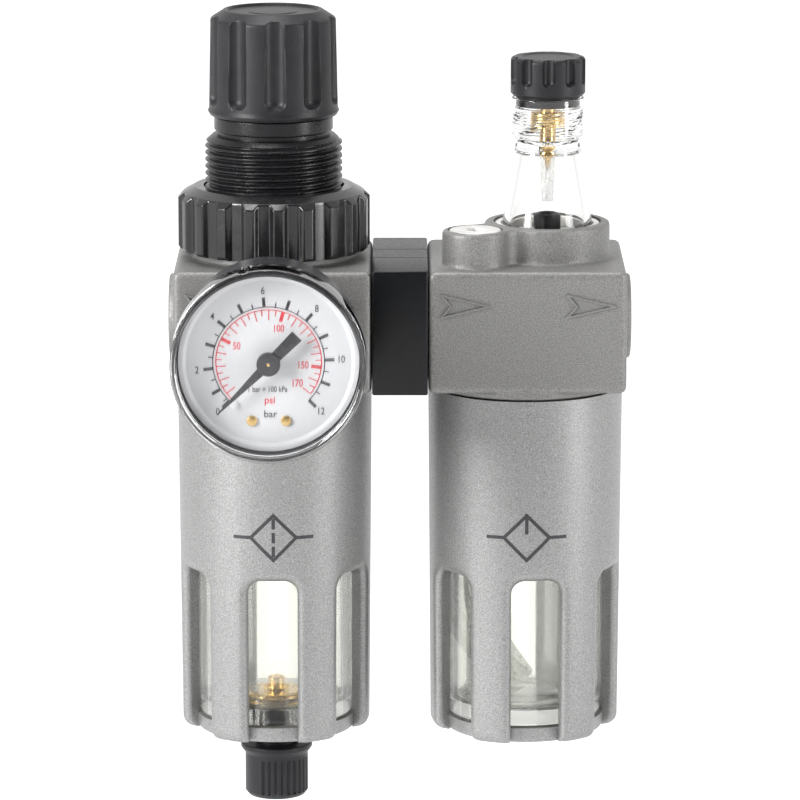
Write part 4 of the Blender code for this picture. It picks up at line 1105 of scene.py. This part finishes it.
def drain():
    """Black drain body, brass nut and valve, and the knob below."""
    base = [
        (1.9, -85.9), (3.8, -85.9), (3.8, PLATE_TOP), (6.3, PLATE_TOP, 0.3),
        (6.3, -94.6, 0.3), (4.6, -94.6), (4.6, -100), (1.9, -100),
    ]
    turning("drain_socket", base, at(FR), "knob_nylon", "filter_bowl", "drain_body", sides=64)
    nut = [
        (1.95, -84.6), (6.1, -84.6, 0.15), (6.5, -84.9, 0.1), (6.5, -85.5, 0.1), (1.95, -85.5)
    ]
    turning("drain_flange", nut, at(FR), "brass", "filter_bowl", "drain_nut")
    valve = [
        (0, -81.6), (1.85, -81.6, 0.4), (1.85, -84.2), (1.5, -84.5), (1.5, -102.6), (0, -102.6)
    ]
    turning("drain_spindle", valve, at(FR), "brass", "drain_valve", "drain_valve", sides=64)
    drain_knob()


def drain_knob():
    low, high = ends("drain_knob")

    def ribs(radius, height, angle):
        if not 6.5 < radius < 7.2 or not low + 0.9 < height < high - 3.1:
            return radius
        smooth_side = abs((angle + math.pi) % (2 * math.pi) - math.pi + 1.25) < 0.7
        return radius if smooth_side else radius - 0.4 * (0.5 + 0.5 * math.cos(30 * angle)) ** 2

    profile = [
        (0, low + 5.6), (4.9, low + 5.6), (4.9, high), (7.95, high, 0.25),
        (7.95, high - 1.0, 0.25), (6.98, high - 2.3, 0.3), (6.98, low + 0.9), (6.3, low, 0.2),
        (0, low),
    ]
    knob = lathe("drain_knob_moulding", profile, at(FR), 440, ribs, 0.3)
    boolean(knob, "DIFFERENCE", drill("drain_bore", 1.1, low - 1, low + 7, at(FR + 3), 32))
    dress(knob, "knob_nylon", "drain_knob", "drain_knob", 40)


def siphon():
    """Oil tube that bows to the bowl's wall and ends in a slanted cut."""
    route = [
        (DOME, 8.6, -7.4), (DOME, 8.6, -14), (LUB + 2.5, 7.2, -26), (LUB - 4.0, 5.4, -38),
        (LUB - 9.0, 3.6, -49), (LUB - 10.9, 2.2, -59), (LUB - 9.6, 1.0, -68),
        (LUB - 5.3, 0.3, -75.2), (LUB - 0.2, 0, -82.3),
    ]
    tube = pipe("oil_tube", curve_through(route, 8), 3.0, 2.1, 48, -0.1)
    dress(tube, "tube_nylon", stands_for="siphon_tube")


# ------------------------------------------------------------------- gauge

GAUGE_FRONT = -ends("gauge_lens", 1)[0]  # distances forwards from the ports' axis
DIAL = -ends("gauge_dial", 1)[0]
DIAL_FLAT_R = 17.4
GAUGE = at(FR) @ FRONT


def gauge_body():
    back, front = 34.0, GAUGE_FRONT
    case = [
        (19.95, front - 2.0, 0.1), (19.95, 50), (19.4, 49), (19.4, back + 1, 0.8),
        (18.4, back, 0.3), (5.3, back), (5.3, back + 1.6), (17.8, back + 1.6), (18.9, 49),
        (19.3, 50), (19.3, front - 2.0, 0.1),
    ]
    bezel = [
        (19.2, front - 0.4), (19.7, front, 0.2), (20.6, front - 0.2, 0.4), (20.6, 50.5),
        (20.1, 50.5), (20.1, front - 1.8), (19.2, front - 1.8),
    ]
    window = [(0, front - 0.4), (19.1, front - 0.4), (19.1, front - 1.4), (0, front - 1.4)]
    for name, profile, finish, node, swell in (
        ("gauge_shell", case, "gauge_black", "gauge_case", None),
        ("gauge_bezel", bezel, "lens_plastic", "gauge_lens", lens_notches),
        ("gauge_window", window, "window_plastic", (), None),
    ):
        turning(name, profile, GAUGE, finish, stands_for=node, sides=160, swell=swell)
    stop = [(0, DIAL + 0.7), (0.9, DIAL + 0.5, 0.3), (0.9, DIAL), (0, DIAL)]
    turning("pointer_stop", stop, GAUGE @ at(-7.3, -9.1), "dial_paint", sides=32)
    dial = [
        (1.4, DIAL), (1.4, DIAL - 0.8), (18.6, DIAL - 0.8), (19.15, DIAL + 0.6, 0.1),
        (18.1, DIAL + 0.5, 0.3), (DIAL_FLAT_R, DIAL, 0.2),
    ]
    turning("gauge_plate", dial, GAUGE, "dial_paint", stands_for="gauge_dial", sides=160)
    gauge_stem()


def lens_notches(radius, height, angle):
    """Two nicks in the bezel's rim where its bayonet catches are."""
    for notch in (104, 120):
        turn = math.radians(90 - notch) - (math.pi - angle)
        off = abs((turn + math.pi) % (2 * math.pi) - math.pi)
        if radius > 20 and off < 0.012:
            return radius - 0.25
    return radius


def gauge_stem():
    """Brass stem with its square for a spanner."""
    stem = lathe(
        "stem_turning",
        [(0, 41), (5, 41), (5, 30), (4.2, 30), (4.2, 12), (0, 12)],
        GAUGE,
        64,
    )
    square = block("stem_square", (14, 14, 12.0), GAUGE @ at(0, 0, 27.7), 0.6, 2)
    arm = block("stem_arm", (5, 11, 4), GAUGE @ at(0, -8, 39), 0.3, 2)
    boolean(stem, "UNION", square, arm)
    dress(stem, "brass", stands_for="gauge_stem")


def bar_angle(bar):
    """Dial angle of a pressure; the scale's first bar is a little short."""
    return math.radians(225 if bar == 0 else 233 - 23.1 * bar)


def on_dial(radius, angle):
    return radius * math.cos(angle), radius * math.sin(angle)


def ticks(marks, name):
    """Radial marks, each (angle, inner radius, outer radius, width)."""
    bm = bmesh.new()
    for angle, inner, outer, width in marks:
        outline = stroke(on_dial(inner, angle), on_dial(outer, angle), width)
        face = bm.faces.new([bm.verts.new((x, y, DIAL)) for x, y in outline])
        extrude(bm, [face], (0, 0, PRINT))
    return from_bmesh(name, bm, GAUGE)


def scale_arc(name, radius, width, first, last):
    """A printed arc from one angle down to another."""
    steps = 90
    angles = [first + (last - first) * step / steps for step in range(steps + 1)]
    outline = [on_dial(radius + width / 2, angle) for angle in angles]
    outline += [on_dial(radius - width / 2, angle) for angle in reversed(angles)]
    bm = bmesh.new()
    low = [bm.verts.new((x, y, DIAL)) for x, y in outline]
    for step in range(steps):
        face = bm.faces.new((low[step], low[step + 1], low[-2 - step], low[-1 - step]))
        face.normal_update()
    extrude(bm, bm.faces[:], (0, 0, PRINT))
    return from_bmesh(name, bm, GAUGE)


def lettering(name, words, height, x, y, narrow=0.8):
    """Text lying on the dial, centred on a point."""
    curve = bpy.data.curves.new(name, "FONT")
    curve.body = words
    curve.size = height * 1.38
    curve.align_x, curve.align_y = "CENTER", "CENTER"
    curve.extrude = PRINT / 2
    curve.offset = 0.014 * height
    curve.resolution_u = 5
    text = placed(name, curve)
    mesh = final_mesh(text)
    bpy.data.objects.remove(text)
    place = GAUGE @ at(x, y, DIAL + PRINT / 2) @ Matrix.Diagonal((narrow, 1, 1, 1))
    mesh.transform(Matrix.Scale(MM, 4) @ place)
    return placed(name, mesh)


def dial_print():
    """The bar scale in black outside, and the psi scale in red inside it."""
    black = scale_arc("bar_scale", 11.75, 0.22, bar_angle(0), bar_angle(12))
    marks = [(bar_angle(bar), 11.7, 13.8, 0.66) for bar in range(13)]
    marks += [(bar_angle(bar + 0.5), 11.7, 12.75, 0.26) for bar in range(12)]
    words = [
        lettering(f"bar_{bar}", str(bar), 1.55, *on_dial(15.2, bar_angle(bar)))
        for bar in range(0, 13, 2)
    ]
    words.append(lettering("bar_unit", "bar", 1.55, 0.3, -11.2, 1.0))
    words.append(lettering("bar_in_kpa", "1 bar = 100 kPa", 1.25, -0.3, -5.9, 0.76))
    dress(join(black, ticks(marks, "bar_ticks"), *words), "black_ink")
    psi = 14.504
    red = scale_arc("psi_scale", 11.1, 0.22, bar_angle(0), bar_angle(170 / psi))
    marks = []
    for value in range(0, 171, 5):
        thick = value in (50, 100, 150)
        reach = 8.95 if thick or value % 10 == 0 else 9.85
        marks.append((bar_angle(value / psi), reach, 11.05, 0.72 if thick else 0.22))
    places = ((50, 7.5), (100, 7.4), (150, 7.2), (170, 7.5))
    words = [
        lettering(f"psi_{value}", str(value), 1.6, *on_dial(radius, bar_angle(value / psi)), 0.75)
        for value, radius in places
    ]
    words.append(lettering("psi_unit", "psi", 1.6, 0.2, -8.2, 0.95))
    dress(join(red, ticks(marks, "psi_ticks"), *words), "red_ink")


def pointer():
    """Tapered hand with a paddle tail, on its pinion's arbor."""
    tip, tail, hub_r = 15.2, 8.5, 2.5
    blade = slab(
        "pointer_hand",
        [(-tail, -1.4), (0, -1.1), (tip, -0.12), (tip, 0.12), (0, 1.1), (-tail, 1.4)],
        54.6, 55.1, GAUGE @ Matrix.Rotation(bar_angle(0), 4, "Z"), 0.1, 2,
    )
    hub = lathe(
        "pointer_hub",
        [(0, 55.75), (hub_r, 55.75, 0.2), (hub_r, 54.4), (0.6, 54.2), (0.6, 46.2), (0, 46.2)],
        GAUGE,
        64,
    )
    dress(boolean(blade, "UNION", hub), "pointer_paint", "pointer", "gauge_pointer")
    pin = [(0, 55.82), (0.35, 55.8, 0.1), (0.35, 55), (0, 55)]
    turning("pointer_pin", pin, GAUGE, "brass", "pointer", sides=24)

    def teeth(radius, height, angle):
        return radius - 0.15 * (0.5 + 0.5 * math.cos(8 * angle)) * (radius > 1)

    pinion = [(0, 46.2), (1.2, 46.2), (1.2, 44.4), (0, 44.4)]
    turning("pinion", pinion, GAUGE, "brass", "pointer", sides=48, swell=teeth)


def dial_screws():
    """Two slotted brass screws that hold the dial."""
    profile = [
        (0, DIAL + 0.65), (1.1, DIAL + 0.55, 0.25), (1.1, DIAL + 0.05), (0.6, DIAL + 0.05),
        (0.6, 49.5), (0, 49.5),
    ]
    for number, x in enumerate((-3.6, 3.6), 1):
        place = GAUGE @ at(x, -12.6)
        screw = lathe(f"dial_rivet_{number}", profile, place, 48)
        askew = at(0, 0, DIAL + 0.75) @ Matrix.Rotation(0.6 * number, 4, "Z")
        slot = block(f"rivet_slot_{number}", (0.26, 3, 0.5), place @ askew)
        boolean(screw, "DIFFERENCE", slot)
        dress(screw, "brass", stands_for=f"dial_screw_{number}")


# ---------------------------------------------------------------- oil feed


def sight_dome():
    """Clear dome with a thread inside its neck and a drip tube below it."""

    def inner_thread(radius, height, angle):
        if not 5.2 < radius < 5.7 or not 40.5 < height < 45.6:
            return radius
        phase = (height / 0.75 - angle / 2 / math.pi) % 1
        return radius - 0.28 * abs(2 * phase - 1)

    profile = [
        (7.3, 48.5, 0.15), (7.85, 48.5, 0.2), (7.85, 40.3, 0.8), (7.15, 39.3, 0.3), (6.95, 38.7),
        (9.8, 20.8, 1.5), (9.8, 17.7), (11.3, 17.7), (11.3, 16.2), (8.1, 16.2),
        (8.1, 20.8, 1.5), (5.4, 36.4, 0.9), (1.7, 36.6), (1.7, 37.8), (5.5, 40.0, 0.3),
        (5.5, 46.2), (7.3, 46.3),
    ]
    dome = lathe("dome_moulding", profile, at(DOME), 160, inner_thread, 0.2)
    dress(dome, "clear_dome", stands_for="sight_dome", sharp=60)
    drip = [(1.65, 36.5), (1.65, 34.0), (1.25, 25.5, 0.15), (0.6, 25.5, 0.15), (0.6, 36.5)]
    turning("drip_tube", drip, at(DOME), "drip_nylon", sides=64, rows=1)
    tray = [(3.0, 17.6, 0.2), (7.9, 18.4, 0.3), (7.9, 16.3), (3.0, 16.3)]
    turning("drip_tray", tray, at(DOME), "white_plastic")
    low, high = ends("dome_ring")
    ring = [(10.1, high, 0.2), (10.1, low), (11.4, low), (11.4, high, 0.2)]
    turning("dome_retainer", ring, at(DOME), "zinc", stands_for="dome_ring", sides=128)
    cup = [
        (1.6, 22.6, 0.2), (2.1, 23.0, 0.2), (2.9, 22.6, 0.2), (2.9, 16.0), (7.0, 16.0),
        (7.0, 14.5), (2.2, 14.5), (2.2, 5.0), (1.1, 5.0), (1.1, 19.0),
    ]
    turning("drip_cup", cup, at(DOME), "knob_nylon", stands_for="drip_seat", sides=64)


def oil_feed():
    """Brass needle and the knob that turns it."""

    def needle_thread(radius, height, angle):
        if not 3.7 < radius < 3.9 or not 42.7 < height < 45:
            return radius
        return radius - 0.22 * abs(2 * ((height / 0.8 - angle / 2 / math.pi) % 1) - 1)

    needle = lathe(
        "feed_screw",
        [
            (0, 48.0), (1.8, 48.0), (1.8, 45.2), (3.85, 45.2, 0.15), (3.85, 42.4, 0.15),
            (1.7, 42.4), (1.7, 37.2), (1.1, 36.4), (0.45, 33.2), (0, 32.0),
        ],
        at(DOME), 96, needle_thread, 0.15,
    )
    dress(needle, "brass", "feed_needle", "feed_needle")
    low, high = 48.9, ends("feed_knob")[1]
    profile = [
        (0, high - 0.25), (5.4, high - 0.25), (5.8, high, 0.15), (8.15, high, 0.95),
        (8.15, low + 0.6), (7.6, low, 0.15),
        (6.95, low), (6.95, 46.7, 0.2), (2.1, 46.7), (2.1, 48.3), (0, 48.3),
    ]
    knob = lathe(
        "feed_knob_moulding", profile, at(DOME), 400,
        fluted(8.15, 1.2, 1.35, low + 2.6, 0, 0.08), 0.3,
    )
    dress(knob, "knob_nylon", "feed_knob", "feed_knob", 40)


def fill_plug():
    top = ends("fill_plug")[1]
    place = at(PLUG.x, PLUG.y)
    plug = lathe(
        "plug_turning",
        [
            (0, top), (5.45, top, 0.1), (5.75, top - 0.35, 0.1), (5.75, 19.2), (4.5, 19.2),
            (4.5, 11.5), (0, 11.5),
        ],
        place, 96,
    )
    boolean(plug, "DIFFERENCE", slab("plug_socket", polygon(6, 4, math.pi / 6), 17.2, 23, place))
    dress(plug, "zinc", "fill_plug", "fill_plug")


def rear_plug():
    """Socket plug in the rear gauge port."""
    place = at(FR) @ BACK
    plug = lathe(
        "gauge_port_plug",
        [(0, 21.2), (3.9, 21.2, 0.1), (4.2, 20.9, 0.1), (4.2, 14.5), (0, 14.5)],
        place, 64,
    )
    boolean(plug, "DIFFERENCE", slab("gauge_plug_socket", polygon(6, 5), 17.5, 23, place))
    dress(plug, "zinc", stands_for="rear_gauge_plug")


# ---------------------------------------------- CAD nodes that stay as they are


def carry_over():
    """Gives each CAD node that still shows its procedural finish."""
    for part in frame["record"]["subparts"]:
        node = frame["nodes"][part["node"]]
        if node.hide_render:
            continue
        node.data.materials.clear()
        node.data.materials.append(FINISHES[part["material_slot"]])
        node.data.shade_smooth()
        node.data.set_sharp_from_angle(angle=math.radians(40))


# ------------------------------------------------------------------ studio


def camera():
    """A long lens a little above the object, straight in front of it."""
    target = Vector((JOINT, 0, -19.0)) * MM
    distance, lift = 1.1526, math.radians(11.7)
    data = bpy.data.cameras.new("camera")
    data.sensor_width = 36
    data.lens = 235.4
    data.clip_start, data.clip_end = 0.05, 50
    obj = placed("camera", data)
    obj.location = target + Vector((0, -math.cos(lift), math.sin(lift))) * distance
    obj.rotation_euler = (math.pi / 2 - lift, 0, 0)
    bpy.context.scene.camera = obj


def area_light(name, place, size, power):
    """A soft box that faces the object's middle, in metres and watts."""
    data = bpy.data.lights.new(name, "AREA")
    data.shape = "RECTANGLE"
    data.size, data.size_y = size
    data.energy = power
    obj = placed(name, data)
    obj.location = place
    heading = Vector(place) - Vector((JOINT * MM, 0, -0.02))
    obj.rotation_euler = heading.to_track_quat("Z", "Y").to_euler()


def studio_world():
    """Bright behind the object and dim in front, as between white walls with a dark camera side."""
    world = bpy.data.worlds.new("studio")
    world.use_nodes = True
    tree = world.node_tree
    background = tree.nodes["Background"]
    background.inputs["Color"].default_value = (1, 1, 1, 1)
    place = tree.nodes.new("ShaderNodeTexCoord")
    split = tree.nodes.new("ShaderNodeSeparateXYZ")
    strength = tree.nodes.new("ShaderNodeMapRange")
    limits = {"From Min": -0.7, "From Max": 0.7, "To Min": 0.05, "To Max": 1.0}
    for socket, value in limits.items():
        strength.inputs[socket].default_value = value
    tree.links.new(place.outputs["Generated"], split.inputs[0])
    tree.links.new(split.outputs["Y"], strength.inputs["Value"])
    tree.links.new(strength.outputs["Result"], background.inputs["Strength"])
    bpy.context.scene.world = world


def studio():
    """Pale floor well below the object that glows with painted light, dim under the object and
    brighter away from it, and three soft boxes.
    """
    studio_world()
    bpy.context.scene.view_settings.view_transform = "Standard"
    floor = new_object(
        "floor",
        [(-9000, -9000, -500), (9000, -9000, -500), (9000, 9000, -500), (-9000, 9000, -500)],
        [(0, 1, 2, 3)],
    )
    glowing_floor = Nodes("glowing_floor", (0.85, 0.85, 0.85), 0.8)
    apart = glowing_floor.node("ShaderNodeVectorMath", operation="LENGTH")
    glowing_floor.link(glowing_floor.place, apart.inputs[0])
    # Painted light: the floor's emission is weak beneath the object and grows with distance from
    # it.
    glow = glowing_floor.ramp(apart.outputs["Value"], 0.7, 1.4, 0.12, 0.75)
    glowing_floor.link(glow, glowing_floor.shader.inputs["Emission Strength"])
    glowing_floor.set("Emission Color", (1, 1, 1, 1))
    floor.data.materials.append(glowing_floor.made)
    area_light("key", (-0.85, -0.65, 0.4), (0.35, 0.8), 21)
    area_light("right", (0.85, -0.4, 0.25), (0.2, 0.8), 6)
    area_light("top", (-0.05, 0.05, 0.9), (0.5, 0.4), 5)


# -------------------------------------------------------------------- build


def main():
    fr_block()
    lub_block()
    port_threads()
    flow_arrows()
    joint()
    regulator_knob()
    bonnet()
    ring_nut()
    spring("main_spring_wire", "main_spring", 6.8, 2.0, 6.5)
    spring("valve_spring_wire", "valve_spring", 4.15, 0.7, 5)
    diaphragm()
    guards_and_bowls()
    guard_marks()
    drain()
    siphon()
    gauge_body()
    dial_print()
    dial_screws()
    pointer()
    sight_dome()
    oil_feed()
    fill_plug()
    rear_plug()
    carry_over()
    camera()
    studio()


main()
